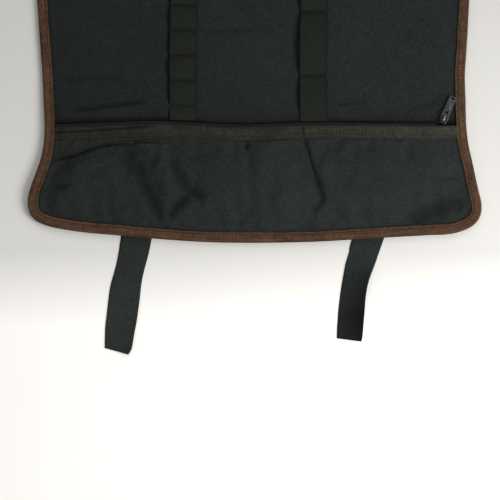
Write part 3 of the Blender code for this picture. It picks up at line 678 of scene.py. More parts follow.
def across_course(course, side, across):
    """Plan points of a ribbon: side is the way to its left edge times its width."""
    return course[:, None] + (0.5 - across)[None, :, None] * side[:, None]


def ribbon_sections(plan, over, under):
    """Closed sections of a flat ribbon from its plan and the heights of its two faces."""
    top = np.concatenate([plan, over[..., None]], axis=2)
    low = np.concatenate([plan, under[..., None]], axis=2)
    return np.concatenate([top, low[:, ::-1]], axis=1)


STITCH_BATCH = 40


def sewn_line(name, path, heights, pitch, radius, material, body=BODY):
    """A row of stitches along a line of plan points, each a short plump thread."""
    run = lengths(path)
    count = max(1, int(run[-1] / pitch))
    mesh = bpy.data.meshes.new(name)
    whole = bmesh.new()
    for first in range(0, count, STITCH_BATCH):
        batch = bmesh.new()
        for number in range(first, min(first + STITCH_BATCH, count)):
            at = (number + np.array([0.14, 0.5, 0.86])) * pitch
            start, middle, end = (
                Vector(np.interp(reach, run, values) for values in (*path.T, heights))
                for reach in at)
            along = end - start
            turn = along.to_track_quat("X", "Z").to_matrix().to_4x4()
            size = Matrix.Diagonal((along.length / 2, radius, radius * 0.8, 1.0))
            bmesh.ops.create_uvsphere(batch, u_segments=6, v_segments=5, radius=1.0,
                                      matrix=Matrix.Translation(middle) @ turn @ size)
        batch.to_mesh(mesh)
        batch.free()
        whole.from_mesh(mesh)
    whole.to_mesh(mesh)
    whole.free()
    return new_piece(name, mesh, material, body)


BORDER = Border()
PANEL = Ground("main_panel")


def zip_course():
    """The zip's middle line, read from the coil node, run on to both bindings."""
    rows = {}
    for vertex in frame["nodes"]["zip_coil"].data.vertices:
        rows.setdefault(round(vertex.co.x, 4), []).append(vertex.co.y)
    xs = np.array(sorted(rows))
    ys = np.array([(min(rows[x]) + max(rows[x])) / 2 for x in xs])
    return xs, ys


ZIP_XS, ZIP_YS = zip_course()
COIL_HALF = 1.7 * MM
TAPE_DEPTH = 13.1 * MM


def zip_y(x):
    return np.interp(x, ZIP_XS, ZIP_YS)


# Creases of the padded panel above the zip
PANEL_CREASES = (
    Crease(((66, 111), (84, 109.6), (104, 106.8), (124, 104.6), (150, 101.2)),
           3.5, 1.5, -1.1, 0.85, 12),
    Crease(((60, 104), (100, 100), (150, 94)), 8, 6, 0.8, 0, 20),
    Crease(((58, 79), (95, 77.5), (128, 80)), 2.4, 2.4, -0.5, 0.4, 14),
    Crease(((334, 106), (352, 103), (370, 100)), 2.6, 1.6, -0.7, 0.5, 8),
    Crease(((196, 31), (238, 29.5), (277, 30)), 1.8, 1.8, -0.35, 0.4, 10),
    Crease(((200, 92), (240, 96), (290, 93)), 9, 9, 0.7, 0, 20),
    Crease(((350, 60), (400, 50), (440, 20)), 14, 14, 0.9, 0, 30),
    Crease(((60, 40), (100, 30), (150, 10)), 12, 12, 0.8, 0, 30),
    Crease(((400, 112), (430, 104), (446, 92)), 4, 4, -0.6, 0.3, 10),
)

# Folds and creases of the pocket's front
POCKET_CREASES = (
    Crease(((302.5, 127), (304, 138), (308, 153), (313, 171), (316, 182)),
           1.7, 1.1, -1.7, 1.0, 7),
    Crease(((313, 174), (318.5, 188), (321.5, 200), (317, 208), (308, 216)),
           3.4, 3.4, -1.5, 0.8, 8),
    Crease(((310, 130), (313, 146), (318, 165), (325, 186), (328, 204)), 7, 9, 1.4, 0, 14),
    Crease(((245.6, 132), (245.9, 141), (246.4, 152)), 2.3, 2.0, -1.5, 1.2, 4),
    Crease(((252, 134), (253, 150), (256, 170)), 4, 4, 0.3, 0, 8),
    Crease(((140, 141), (132, 150), (132, 163), (139, 178)), 9, 9, -1.6, 0.8, 9),
    Crease(((135, 158), (141, 180), (149, 196), (157, 213), (160, 224)),
           6.0, 5.5, -2.0, 0.8, 10),
    Crease(((169, 153), (175, 170), (185, 187), (196, 195), (208, 203)),
           6, 5, -2.0, 0.72, 12),
    Crease(((160, 150), (164, 175), (174, 205)), 8, 8, 1.2, 0, 16),
    Crease(((190, 193), (178, 205), (166, 219)), 5, 5, -1.5, 0.85, 7),
    Crease(((402, 223), (428, 213), (452, 205), (470, 197)), 9, 10, -1.6, 0.75, 14),
    Crease(((434, 180), (462, 178.5)), 2.0, 2.0, -0.8, 0.5, 6),
    Crease(((50, 187.5), (71, 186)), 2.2, 2.2, -0.9, 0.5, 6),
    Crease(((46, 160), (52, 159), (67, 157.6), (83, 152), (95, 147.4), (108, 144.4),
            (131, 142.2), (150, 141), (172, 140)), 2.8, 1.8, -2.2, 0.9, 6),
    Crease(((60, 172), (90, 163), (130, 155)), 8, 8, 1.1, 0, 18),
    Crease(((350, 150), (380, 165), (400, 190)), 12, 12, 1.0, 0, 20),
    Crease(((200, 150), (215, 170), (232, 200)), 9, 9, 0.8, 0, 20),
    Crease(((270, 150), (272, 180), (268, 215)), 7, 7, -0.7, 0.1, 20),
)


def painted_binding_shade(edge):
    """How much shade is painted on the cloth just inside the binding."""
    return 0.6 * np.exp(-(np.maximum(edge - 11.2 * MM, 0) / (1.8 * MM)) ** 2)


def make_panel_cloth():
    """Padded body cloth, pulled down along the zip and at every tack of the webbing."""
    hem = 1.8 * MM
    zip_mid = float(zip_y(0.0))
    across = np.linspace(0, 1, 241)
    lower = np.linspace(0, 1, 12)
    near_share = 0.33
    near, far = np.linspace(0, near_share, 101), np.linspace(near_share, 1, 66)
    upper = np.concatenate([near, far[1:]])
    south_west, south_east = BORDER.corner(-1, -1), BORDER.corner(1, -1)
    north_west, north_east = BORDER.corner(-1, 1), BORDER.corner(1, 1)
    west, east = BORDER.side_at(-1, zip_mid), BORDER.side_at(1, zip_mid)
    south = BORDER.inset_run(south_west, south_east, across, hem)
    north = BORDER.inset_run(north_east, north_west, across, hem)[::-1]
    low_east = BORDER.inset_run(south_east, east, lower, hem)
    low_west = BORDER.inset_run(west, south_west, 1 - lower[::-1], hem)[::-1]
    high_east = BORDER.inset_run(east, north_east, upper, hem)
    high_west = BORDER.inset_run(north_west, west, 1 - upper[::-1], hem)[::-1]
    seam = low_west[-1] + across[:, None] * (low_east[-1] - low_west[-1])
    pocket = patch(south, seam, low_west, low_east)
    field = patch(seam, north, high_west, high_east)
    plan = np.concatenate([pocket, field[:, 1:]], axis=1)
    over = relaxed(PANEL.under(plan), 6)
    edge = BORDER.distance(plan)
    inside = smooth((edge - 11.5 * MM) / (9 * MM))
    above = plan[..., 1] - zip_y(plan[..., 0])
    field_mask = smooth((above - 2 * MM) / (8 * MM)) * inside
    roll = smooth(above / (9 * MM)) * (1 - smooth((above - 9 * MM) / (26 * MM)))
    detail, shade = crease_heights(plan, PANEL_CREASES)
    detail += 0.9 * MM * ripple(plan, 0.085, 0.060, 3.0)
    detail += 0.3 * MM * ripple(plan, 0.030, 0.020, 8.0)
    detail += 1.5 * MM * roll
    over += detail * field_mask
    shade = np.maximum(shade * field_mask, painted_binding_shade(edge))
    # Shade painted on the panel just above the zip, reaching further up at the left, with a
    # fainter, wider painted shade from the middle on.
    gap = np.maximum(above - COIL_HALF, 0)
    painted_zip_halo = 0.55 * smooth((plan[..., 0] + 0.14) / 0.05) * np.exp(-(gap / (11 * MM)) ** 2)
    reach = (3.8 + 1.4 * smooth((-0.05 - plan[..., 0]) / 0.06)) * MM
    painted_zip_shade = np.maximum(1.4 * np.exp(-(gap / reach) ** 2), painted_zip_halo) * (above > 0)
    mesh = cloth_sheet("panel_cloth", plan, over, np.maximum(shade, painted_zip_shade))
    # The panel cloth gets a darker painted light level and a painted falloff towards the left.
    piece = new_piece("panel_cloth", mesh,
                      woven_cloth("panel cloth", "body", 0.85, 0.9, 0.87, 0.75))
    thicken(piece, sizes().panel_cloth)
    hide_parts("main_panel")
    return piece


# Spare cloth of the pocket's front, as a share of its size, and how far it may buckle
SPARE_CLOTH = 0.018
BUCKLE = 2.4 * MM
SETTLING_FRAMES = 22


def settling(plan, over, free):
    """How far the front rises or sinks as its spare cloth buckles between the seams."""
    thin = slice(None, None, 2)
    mesh, column, row = grid("settling", *(count - 1 for count in over[thin, thin].shape))
    start = np.concatenate([plan, over[..., None]], axis=2)[thin, thin]
    mesh.vertices.foreach_set("co", start[column, row].ravel())
    sheet = bpy.data.objects.new("settling", mesh)
    bpy.context.scene.collection.objects.link(sheet)
    seams = np.flatnonzero(free[thin, thin][column, row] < 0.02)
    sheet.vertex_groups.new(name="seams").add(seams.tolist(), 1.0, "REPLACE")
    cloth = sheet.modifiers.new("settling", "CLOTH")
    cloth.settings.effector_weights.gravity = 0.0
    cloth.settings.vertex_group_mass = "seams"
    cloth.settings.shrink_min = -SPARE_CLOTH
    cloth.settings.tension_stiffness = 20.0
    cloth.settings.compression_stiffness = 20.0
    cloth.settings.shear_stiffness = 8.0
    cloth.settings.bending_stiffness = 0.6
    cloth.settings.air_damping = 4.0
    cloth.collision_settings.use_collision = False
    cloth.point_cache.frame_end = SETTLING_FRAMES
    scene = bpy.context.scene
    for frame in range(1, SETTLING_FRAMES + 1):
        scene.frame_set(frame)
    settled = sheet.evaluated_get(bpy.context.evaluated_depsgraph_get()).to_mesh()
    flat = np.zeros(len(settled.vertices) * 3)
    settled.vertices.foreach_get("co", flat)
    change = np.zeros(start.shape[:2])
    change[column, row] = flat[2::3] - start[column, row, 2]
    bpy.data.objects.remove(sheet)
    scene.frame_set(1)
    change = np.clip(change, -BUCKLE, BUCKLE)
    for axis in (0, 1):
        at = np.arange(over.shape[axis])
        change = np.apply_along_axis(lambda line: np.interp(at, at[thin], line), axis, change)
    return relaxed(change, 3) * free


# Lower edge of the hem's fold at the left, in the photograph's pixels
HEM_FOLD = ((40, 163), (52, 159), (67, 157.6), (83, 152), (95, 147.4), (108, 144.4),
            (131, 142.2), (150, 141), (172, 140))


def make_pocket_cloth():
    """The pocket's front, a little full, creased and gathered at the zip."""
    hem = 1.8 * MM
    zip_mid = float(zip_y(0.0)) - COIL_HALF
    across = np.linspace(0, 1, 331)
    rows = np.linspace(0, 1, 117)
    south_west, south_east = BORDER.corner(-1, -1), BORDER.corner(1, -1)
    west, east = BORDER.side_at(-1, zip_mid), BORDER.side_at(1, zip_mid)
    south = BORDER.inset_run(south_west, south_east, across, hem)
    low_east = BORDER.inset_run(south_east, east, rows, hem)
    low_west = BORDER.inset_run(west, south_west, 1 - rows[::-1], hem)[::-1]
    seam = low_west[-1] + across[:, None] * (low_east[-1] - low_west[-1])
    seam[:, 1] = zip_y(seam[:, 0]) - COIL_HALF - 0.4 * MM
    low_west[-1], low_east[-1] = seam[0], seam[-1]
    plan = patch(south, seam, low_west, low_east)
    ground = Ground("pocket_front")
    over = relaxed(ground.under(plan), 14)
    edge = BORDER.distance(plan)
    below_tape = zip_y(plan[..., 0]) - COIL_HALF - TAPE_DEPTH - plan[..., 1]
    free = smooth((edge - 11.4 * MM) / (5 * MM)) * smooth((below_tape + 1 * MM) / (4 * MM))
    detail, shade = crease_heights(plan, POCKET_CREASES)
    detail += 1.1 * MM * ripple(plan, 0.055, 0.080, 21.0)
    detail += 0.35 * MM * ripple(plan, 0.018, 0.034, 27.0)
    pucker = np.exp(-np.maximum(below_tape, 0) / (14 * MM))
    detail += 0.5 * MM * pucker * ripple(plan, 0.011, 0.2, 33.0)
    rim = np.exp(-np.maximum(edge - 11.5 * MM, 0) / (10 * MM))
    detail += 0.35 * MM * rim * ripple(plan, 0.012, 0.030, 37.0)
    over += detail * free
    over += settling(plan, over, free)
    fold_xs, fold_ys = np.array([spot(*pixel) for pixel in HEM_FOLD]).T
    inside_hem = plan[..., 1] - np.interp(plan[..., 0], fold_xs, fold_ys)
    hem = smooth(inside_hem / (2 * MM)) * smooth((fold_xs[-1] - plan[..., 0]) / (12 * MM))
    # Painted shade: the creases' own and that just inside the binding.
    shade = np.maximum(shade * smooth((edge - 9.5 * MM) / (2 * MM)), painted_binding_shade(edge))
    mesh = cloth_sheet("pocket_cloth", plan, over, shade, 0.4 * hem)
    # The pocket cloth gets a lighter painted light level and the same painted falloff.
    piece = new_piece("pocket_cloth", mesh,
                      woven_cloth("pocket cloth", "body", 0.85, 0.9, 1.07, 0.75, "zip_tape"))
    thicken(piece, sizes().pocket_cloth)
    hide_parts("pocket_front")
    return piece


def binding_levels(y):
    """Under side and top of the binding at a distance up the roll."""
    stations = {}
    for vertex in frame["nodes"]["edge_binding"].data.vertices:
        stations.setdefault(round(vertex.co.y, 3), []).append(vertex.co.z)
    ys = np.array(sorted(stations))
    low = np.array([min(stations[k]) for k in ys])
    high = np.array([max(stations[k]) for k in ys])
    return np.interp(y, ys, low), np.interp(y, ys, high)


# Which point round the binding's section lies in its stitched groove
SEAM_POINT = 10

# The bar tack that holds the zip's end in the binding, in the photograph's pixels
BAR_TACK = ((456.0, 90.2), (460.8, 95.6), (463.0, 90.8))


def make_binding():
    """Brown tape folded over the edge, a little uneven along its inner edge."""
    count = 1500
    shares = np.arange(count) / count
    closed = np.vstack([BORDER.points, BORDER.points[:1]])
    points = resample(closed, shares)
    ahead = np.roll(points, -2, axis=0) - np.roll(points, 2, axis=0)
    inward = np.stack([-ahead[:, 1], ahead[:, 0]], 1)
    inward /= np.linalg.norm(inward, axis=1)[:, None]
    low, high = binding_levels(points[:, 1])
    low, high = ring_even(low, 10), ring_even(high, 10)
    cloth = sizes().binding_cloth
    reach = sizes().binding_width
    wave = np.array([noise.noise(Vector((x * 60, y * 60, 5.0))) for x, y in points])
    fine = np.array([noise.noise(Vector((x * 260, y * 260, 9.0))) for x, y in points])
    width = reach + 0.6 * MM * wave + 0.15 * MM * fine
    puff = 0.25 * MM * fine + 0.1 * MM * wave
    seam = 2.6 * MM
    upper = [
        (0.30 * MM, 0.28, 0.0),
        (0.00 * MM, 0.50, 0.0),
        (0.22 * MM, 0.80, 0.0),
        (0.90 * MM, 0.965, 0.3),
        (2.20 * MM, 1.0, 1.0),
        (4.50 * MM, 1.0, 1.0),
    ]
    sections = []
    weave = []
    across_low = [reach - 0.2 * MM, reach * 0.6, 1.6 * MM]
    rise = high - low
    for depth in across_low:
        sections.append((np.full(count, depth), low))
    for depth, share, soft in upper:
        sections.append((np.full(count, depth), low + rise * share + puff * soft))
    groove = high - 0.30 * MM
    for depth, height in ((width - seam - 0.9 * MM, high + puff * 0.6),
                          (width - seam, groove),
                          (width - seam + 0.9 * MM, high + 0.05 * MM),
                          (width - 0.5 * MM, high + 0.05 * MM),
                          (width, high - 0.25 * MM),
                          (width - 0.05 * MM, high - 0.8 * cloth),
                          (width - 0.8 * MM, high - cloth),
                          (width * 0.5, high - cloth)):
        sections.append((depth, height))
    for depth, height in ((np.full(count, cloth), high - cloth),
                          (np.full(count, cloth), low + cloth),
                          (np.full(count, reach - 0.2 * MM), low + cloth)):
        sections.append((depth, height))
    rings = np.stack([
        np.concatenate([points + inward * depth[:, None], height[:, None]], axis=1)
        for depth, height in sections], axis=1)
    along = lengths(closed)[-1] * np.arange(count + 1) / count
    seen = np.vstack([rings, rings[:1]])
    girth = np.cumsum(np.linalg.norm(np.diff(seen, axis=1, append=seen[:, :1]), axis=2), 1)
    girth = np.concatenate([np.zeros((count + 1, 1)), girth], axis=1)
    weave = np.stack([np.repeat(along[:, None], girth.shape[1], 1), girth], axis=2)
    # Shade painted into the stitched groove and on the tape's inner edge.
    shade = np.zeros(rings.shape[:2])
    shade[:, SEAM_POINT] = 0.8
    shade[:, SEAM_POINT + 3:SEAM_POINT + 5] = 0.5
    mesh = skin("binding_tape", rings, weave, closed=True, shade=shade)
    piece = new_piece("binding_tape", mesh,
                      ribbed_tape("binding tape", "binding", 1.5, True, 1.1, 0.22, 1.9))
    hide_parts("edge_binding")
    line = points + inward * (width - seam)[:, None]
    line, levels = np.vstack([line, line[:1]]), np.append(groove, groove[0])
    sewn_line("binding_stitches", line, levels, sizes().stitch, sizes().thread,
              sewing_thread("brown thread", (0.050, 0.026, 0.017)))
    tack = resample(np.array([spot(*pixel) for pixel in BAR_TACK]), np.linspace(0, 1, 30))
    sewn_line("binding_bar_tack", tack, binding_levels(tack[:, 1])[1] + 0.15 * MM,
              2.9 * MM, 0.55 * MM, sewing_thread("dark brown thread", (0.007, 0.004, 0.003)))
    return piece


def ring_even(values, times):
    for _ in range(times):
        values = (np.roll(values, 1) + values + np.roll(values, -1)) / 3
    return values


# Height in millimetres of the zip band and the shade painted on it, by share of its depth;
# before 0 it lies over the lower teeth
BAND_PROFILE = ((-0.08, 0.20), (-0.06, 0.40), (-0.03, 0.45), (0.01, 0.30), (0.05, 0.10),
                (0.12, 0.10), (0.20, 0.25), (0.32, 0.20), (0.60, 0.15), (0.68, -0.15),
                (0.73, 0.20), (0.79, 0.25), (0.87, -0.15), (0.92, 0.10), (0.97, -0.15),
                (1.0, -0.55))
BAND_SHADE = ((-0.08, 1.0), (-0.06, 0.4), (-0.03, 0.0), (0.02, 0.5), (0.08, 0), (0.6, 0),
              (0.68, 0.6), (0.74, 0), (0.80, 0), (0.87, 0.6), (0.93, 0.05), (1.0, 0.5))
BAND_CREASES = (
    Crease(((46, 133.2), (55, 132.6), (80, 131.2), (112, 129.2), (135, 127.4), (156, 125.8)),
           1.1, 1.1, -0.6, 1.0, 10),
    Crease(((302.3, 126), (302.8, 132), (303.6, 139)), 1.3, 1.3, -0.4, 0.9, 3),
)


def binding_edge(side, y):
    """Where the binding's inner edge lies on one side, less what tucks under it."""
    index = BORDER.side_at(side, y)
    inset = BORDER.inward[index] * (sizes().binding_width - 0.4 * MM)
    return (BORDER.points[index] + inset)[0]


def make_zip_band():
    """The visible zip tape with its chain of coil stitches and its topstitching."""
    across = np.linspace(TAPE_LOW.x, TAPE_HIGH.x, 420)
    edge = zip_y(across) - COIL_HALF - 0.3 * MM
    depth = np.union1d(np.linspace(0.04, 0.96, 24),
                       [-0.08, -0.07, -0.055, -0.04, -0.02, 0.0, 0.02, 0.985, 1.0])
    plan = np.zeros((len(across), len(depth), 2))
    plan[..., 0] = across[:, None]
    plan[..., 1] = edge[:, None] - depth[None] * TAPE_DEPTH
    ways = ((-1, 0), (1, -1))
    stretch = [[binding_edge(side, y) - across[end] for y in plan[end, :, 1]]
               for side, end in ways]
    for (side, end), extra in zip(ways, np.array(stretch)):
        near_end = smooth(1 - np.abs(across - across[end]) / (12 * MM))
        plan[..., 0] += near_end[:, None] * extra[None]
    base = relaxed(Ground("zip_tape").under(plan), 8)
    base = np.where(depth < 0.04, base[:, depth > 0.04][:, :1], base)
    form = np.interp(depth, *np.array(BAND_PROFILE).T) * MM
    wave = 0.30 * MM * ripple(plan, 0.020, 0.05, 44.0) * smooth(depth * 2)
    wave += 0.16 * MM * ripple(plan, 0.006, 0.03, 47.0) * smooth(depth * 8)
    second, shade = crease_heights(plan, BAND_CREASES)
    over = base + form + wave + second
    shade = np.maximum(shade, np.interp(depth, *np.array(BAND_SHADE).T))
    under = np.minimum(base - 0.75 * MM + wave, over - 0.15 * MM)
    under = np.where(depth < 0.0, over - 0.4 * MM, under)
    rings = ribbon_sections(plan, over, under)
    weave = np.concatenate([rings, rings[:, :1]], axis=1)[..., :2]
    shade = np.concatenate([shade, shade[:, ::-1]], axis=1)
    mesh = skin("zip_band", rings, weave, shade=shade)
    piece = new_piece("zip_band", mesh,
                      ribbed_tape("zip tape", "zip_tape", 3.3, True, 1.2, 0.08, 1.0, 3.4))
    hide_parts("zip_tape")
    dark = sewing_thread("dark thread", (0.010, 0.010, 0.009))
    olive = sewing_thread("olive thread", (0.030, 0.031, 0.023))
    rows = (("coil_chain", 0.02, 3.1, 0.42, dark), ("tape_topstitch", 0.68, 3.0, 0.26, olive),
            ("tape_edge_stitch", 0.87, 3.0, 0.26, olive))
    for name, share, pitch, radius, thread in rows:
        column = int(np.argmin(np.abs(depth - share)))
        sewn_line(name, plan[:, column], over[:, column], pitch * MM, radius * MM, thread)
    return piece


def make_coil():
    """Two rows of small teeth that meet along the zip's middle."""
    pitch = sizes().coil_pitch
    start, end = COIL_LOW.x + 0.4 * MM, COIL_HIGH.x
    count = int((end - start) / pitch)
    base = Ground("zip_coil").height((start + end) / 2, float(zip_y((start + end) / 2)))
    bm = bmesh.new()
    for number in range(count):
        for side in (-1, 1):
            x = start + (number + 0.5 + side * 0.25) * pitch
            tooth = bmesh.ops.create_cube(bm, size=1.0)["verts"]
            bmesh.ops.scale(bm, vec=(pitch * 0.42, 2.1 * MM, 1.35 * MM), verts=tooth)
            for vertex in tooth:
                vertex.co.z -= 0.35 * MM if vertex.co.y * side > 0 else 0.0
                vertex.co.y += side * 0.65 * MM
                vertex.co.x += vertex.co.y * 0.18
            bmesh.ops.translate(bm, vec=(x, float(zip_y(x)), base - 1.0 * MM), verts=tooth)
    bmesh.ops.bevel(bm, geom=bm.edges[:], offset=0.14 * MM, segments=1, profile=0.5,
                    affect="EDGES", material=-1)
    cord = bmesh.ops.create_grid(bm, x_segments=300, y_segments=1, size=1.0)["verts"]
    for vertex in cord:
        share = (vertex.co.x + 1) / 2
        x = start + share * (end - start)
        vertex.co = (x, float(zip_y(x)) + vertex.co.y * 1.6 * MM, base - 1.75 * MM)
    faces = list({face for vertex in cord for face in vertex.link_faces})
    bmesh.ops.solidify(bm, geom=faces, thickness=0.25 * MM)
    mesh = bpy.data.meshes.new("coil_teeth")
    bm.to_mesh(mesh)
    bm.free()
    piece = new_piece("coil_teeth", mesh, coil_nylon())
    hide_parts("zip_coil")
    return piece


Column = namedtuple("Column", "name node first pitch rise tack_mm")
COLUMNS = (
    Column("tool_webbing", "loop_webbing_left", 19.1 * MM, 26.2 * MM, 2.2 * MM, 5.0),
    Column("blade_webbing", "loop_webbing_right", 50.4 * MM, 66.4 * MM, 5.6 * MM, 3.0),
)
ZIP_MID = ROLL_END + 123.8 * MM


def tack_lines(column):
    low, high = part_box(column.node)
    lines = [low.y]
    line = ZIP_MID + column.first
    while line < high.y - column.pitch / 3:
        lines.append(line)
        line += column.pitch
    return lines + [high.y]


def make_webbing(column):
    """A webbing column sewn down at its tacks, with loops between them."""
    low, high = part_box(column.node)
    lines = tack_lines(column)
    along, swell = [], []
    for first, last in zip(lines, lines[1:]):
        share = np.linspace(0, 1, max(12, int((last - first) / (1.6 * MM))))[:-1]
        raised = 0.0 if last == high.y else column.rise * min(1, (last - first) / column.pitch)
        along.extend(first + share * (last - first))
        swell.extend(raised * (1 - np.abs(2 * share - 1) ** 2.2))
    along, swell = np.array(along + [high.y]), np.array(swell + [0.0])
    across = np.array([0, 0.012, 0.035, 0.08, 0.2, 0.35, 0.5, 0.65, 0.8, 0.92, 0.965,
                       0.988, 1.0])
    width = high.x - low.x
    middle = (low.x + high.x) / 2
    lean = 0.5 * MM * np.sin(along * 23) + 0.25 * MM * np.sin(along * 61)
    course = np.stack([middle + lean, along], 1)
    left = np.repeat([[-(width - 0.6 * MM), 0.0]], len(along), 0)
    plan = across_course(course, left, across)
    ground = PANEL.under(plan).max(axis=1)
    edges = np.minimum(across, 1 - across)
    thick = sizes().webbing_cloth * (0.35 + 0.65 * smooth(edges / 0.03))
    cup = 0.25 * MM * np.cos((across - 0.5) * pi)
    under = (ground + 0.45 * MM + swell)[:, None] + 0 * across[None]
    over = under + thick[None] + cup[None] * (swell[:, None] / column.rise + 0.3)
    gap = np.abs(along[:, None] - np.array(lines)[None, 1:-1]).min(axis=1)
    over -= 0.45 * MM * np.exp(-(gap / (1.6 * MM)) ** 2)[:, None]
    rings = ribbon_sections(plan, over, under)
    weave = np.concatenate([rings, rings[:, :1]], axis=1)[..., :2]
    # Shade painted along both long edges and over each tack.
    painted_edge_shade = 0.95 * np.exp(-(edges / 0.042) ** 2)[None]
    painted_tack_shade = 0.8 * np.exp(-(gap / (1.3 * MM)) ** 2)[:, None]
    shade = np.maximum(painted_edge_shade, painted_tack_shade)
    shade = np.concatenate([shade, shade[:, ::-1]], axis=1)
    mesh = skin(column.name, rings, weave, shade=shade)
    piece = new_piece(column.name, mesh, ribbed_tape("webbing", "webbing", 1.7, False, 0.5))
    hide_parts(column.node)
    thread = sewing_thread("webbing thread", (0.0085, 0.0085, 0.0070))
    for number, line in enumerate(lines[1:-1]):
        row = int(np.argmin(np.abs(along - line)))
        xs = np.linspace(low.x - column.tack_mm * MM * 0.5, high.x - 0.6 * MM, 40)
        path = np.stack([xs, np.full(40, line)], 1)
        on_webbing = (xs > low.x + 0.3 * MM)
        top = float(over[row].max())
        panel = np.array([PANEL.height(x, line) for x in xs]) + 0.45 * MM
        levels = np.where(on_webbing, top, panel)
        for twin in (-0.5, 0.5):
            shift = np.array([0.0, twin * 1.3 * MM])
            sewn_line(f"{column.name}_tack_{number}_{'ab'[twin > 0]}", path + shift, levels,
                      2.2 * MM, sizes().thread * 1.4, thread)
    return piece


# Middle line of each strap in the photograph's pixels, from its end under the roll on.
# wide is its seen width as a share of the strap's width, curl how far the right edge
# stands up, as such a share too, and dark how much shade is painted there, minus where
# light is painted.
StrapRow = namedtuple("StrapRow", "px py wide curl dark")
LEFT_STRAP = (
    StrapRow(143.1, 201.7, 1.00, 0.00, 0.00),
    StrapRow(135.2, 240.0, 1.04, 0.00, 0.10),
    StrapRow(133.0, 252.0, 1.01, 0.00, 0.05),
    StrapRow(130.3, 264.0, 0.98, 0.00, 0.00),
    StrapRow(127.4, 276.0, 1.00, 0.00, -0.10),
    StrapRow(124.9, 288.0, 1.04, 0.01, -0.32),
    StrapRow(123.3, 300.0, 1.06, 0.03, -0.40),
    StrapRow(121.1, 318.0, 1.05, 0.07, -0.46),
    StrapRow(119.3, 330.0, 1.02, 0.10, -0.48),
    StrapRow(118.1, 342.0, 0.97, 0.13, -0.46),
    StrapRow(116.9, 351.8, 0.90, 0.16, -0.40),
)
RIGHT_STRAP = (
    StrapRow(380.9, 201.7, 1.00, 0.00, 0.00),
    StrapRow(366.1, 244.0, 1.03, 0.00, 0.00),
    StrapRow(362.7, 256.0, 0.98, 0.03, 0.00),
    StrapRow(358.6, 268.0, 0.94, 0.18, 0.10),
    StrapRow(356.9, 274.0, 0.90, 0.28, 0.22),
    StrapRow(354.2, 286.0, 0.86, 0.37, 0.40),
    StrapRow(352.4, 298.0, 0.86, 0.40, 0.50),
    StrapRow(350.7, 316.0, 0.88, 0.40, 0.90),
    StrapRow(349.4, 334.0, 0.86, 0.37, 0.78),
    StrapRow(349.0, 340.2, 0.84, 0.36, 0.74),
)


def make_strap(name, node, rows, skew, corner):
    """A doubled cloth strap with turned and stitched edges, lying on the surface.

    At its end the right edge runs on by skew, and its last corner is drawn in by corner.
    """
    line = np.array([(*spot(row.px, row.py), row.wide, row.curl, row.dark) for row in rows])
    course = resample(spline(line), np.linspace(0, 1, 150))
    way = np.gradient(course[:, :2], axis=0)
    way /= np.linalg.norm(way, axis=1)[:, None]
    side = np.stack([way[:, 1], -way[:, 0]], 1)
    run = lengths(course[:, :2])
    width = sizes().strap_width * course[:, 2]
    curl = np.maximum(course[:, 3], 0) * sizes().strap_width
    wear = np.array([noise.noise(Vector((t * 45, 3.0, len(name)))) for t in run])
    width = width + 0.35 * MM * wear
    across = np.array([0, 0.01, 0.03, 0.07, 0.12, 0.17, 0.27, 0.40, 0.55, 0.70, 0.80,
                       0.86, 0.91, 0.95, 0.98, 0.992, 1.0])
    edges = np.minimum(across, 1 - across)
    thick = sizes().strap_cloth * (0.30 + 0.70 * smooth(edges / 0.035))
    hem = 0.16 * MM * np.exp(-((edges - 0.05) / 0.03) ** 2)
    sewn = -0.20 * MM * np.exp(-((edges - 0.10) / 0.018) ** 2)
    lift = across[None] ** 2 * curl[:, None]
    from_end = run[-1] - run
    end_round = 0.5 * sizes().strap_cloth * (1 - smooth(from_end / (0.8 * MM)))[:, None]
    end_hem = -0.2 * MM * np.exp(-((from_end - 3.2 * MM) / (0.7 * MM)) ** 2)[:, None]
    plan = across_course(course[:, :2], side * width[:, None], across)
    drawn = corner * np.clip(1 - from_end / (7 * MM), 0, 1) ** 1.5
    plan += (drawn[:, None] * np.maximum(2 * across - 1, 0))[..., None] * side[:, None]
    ahead = skew * smooth((run / run[-1] - 0.8) / 0.2)
    plan += (ahead[:, None] * (across - 0.5))[..., None] * way[:, None]
    soft = 0.25 * MM * ripple(plan, 0.03, 0.022, 51.0 + len(name))
    under = lift + 0.02 * MM
    tucked = smooth((run[-1] * 0.40 - run) / (8 * MM))[:, None]
    over = under + thick[None] + ((hem + sewn)[None] + soft + end_hem) * (1 - tucked)
    over = np.minimum(over, under + sizes().strap_cloth + 0.25 * MM * (1 - tucked))
    over = np.maximum(over - end_round, under + 0.25 * MM)
    rings = ribbon_sections(plan, over, under)
    u = across * sizes().strap_width
    u = np.concatenate([u, u[::-1], u[:1]])
    weave = np.stack(np.broadcast_arrays(u[None, :], run[:, None]), axis=2)
    # Shade painted along the right edge of the strap's lower half, plus each row's painted
    # shade, which is painted light where it is below 0.
    lower_half = smooth((run / run[-1] - 0.6) / 0.15)[:, None]
    shade = 0.75 * np.exp(-((1 - across) / 0.05) ** 2)[None] * lower_half
    shade = shade + course[:, 4:] * (0.7 + 0.3 * across[None])
    shade = np.concatenate([shade, shade[:, ::-1]], axis=1)
    mesh = skin(name, rings, weave, shade=shade)
    piece = new_piece(name, mesh, woven_cloth("strap cloth", "strap", 0.85, 0.7))
    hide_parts(node)
    thread = sewing_thread("strap thread", (0.012, 0.014, 0.013))
    for label, column in (("left", 5), ("right", 12)):
        shown_rows = slice(57, len(run) - 4)
        sewn_line(f"{name}_hem_{label}", plan[shown_rows, column], over[shown_rows, column],
                  sizes().stitch, sizes().thread * 0.8, thread)
    row = int(np.argmin(np.abs(from_end - 3.2 * MM)))
    sewn_line(f"{name}_hem_end", plan[row, 3:-3], over[row, 3:-3], sizes().stitch,
              sizes().thread * 0.8, thread)
    return piece


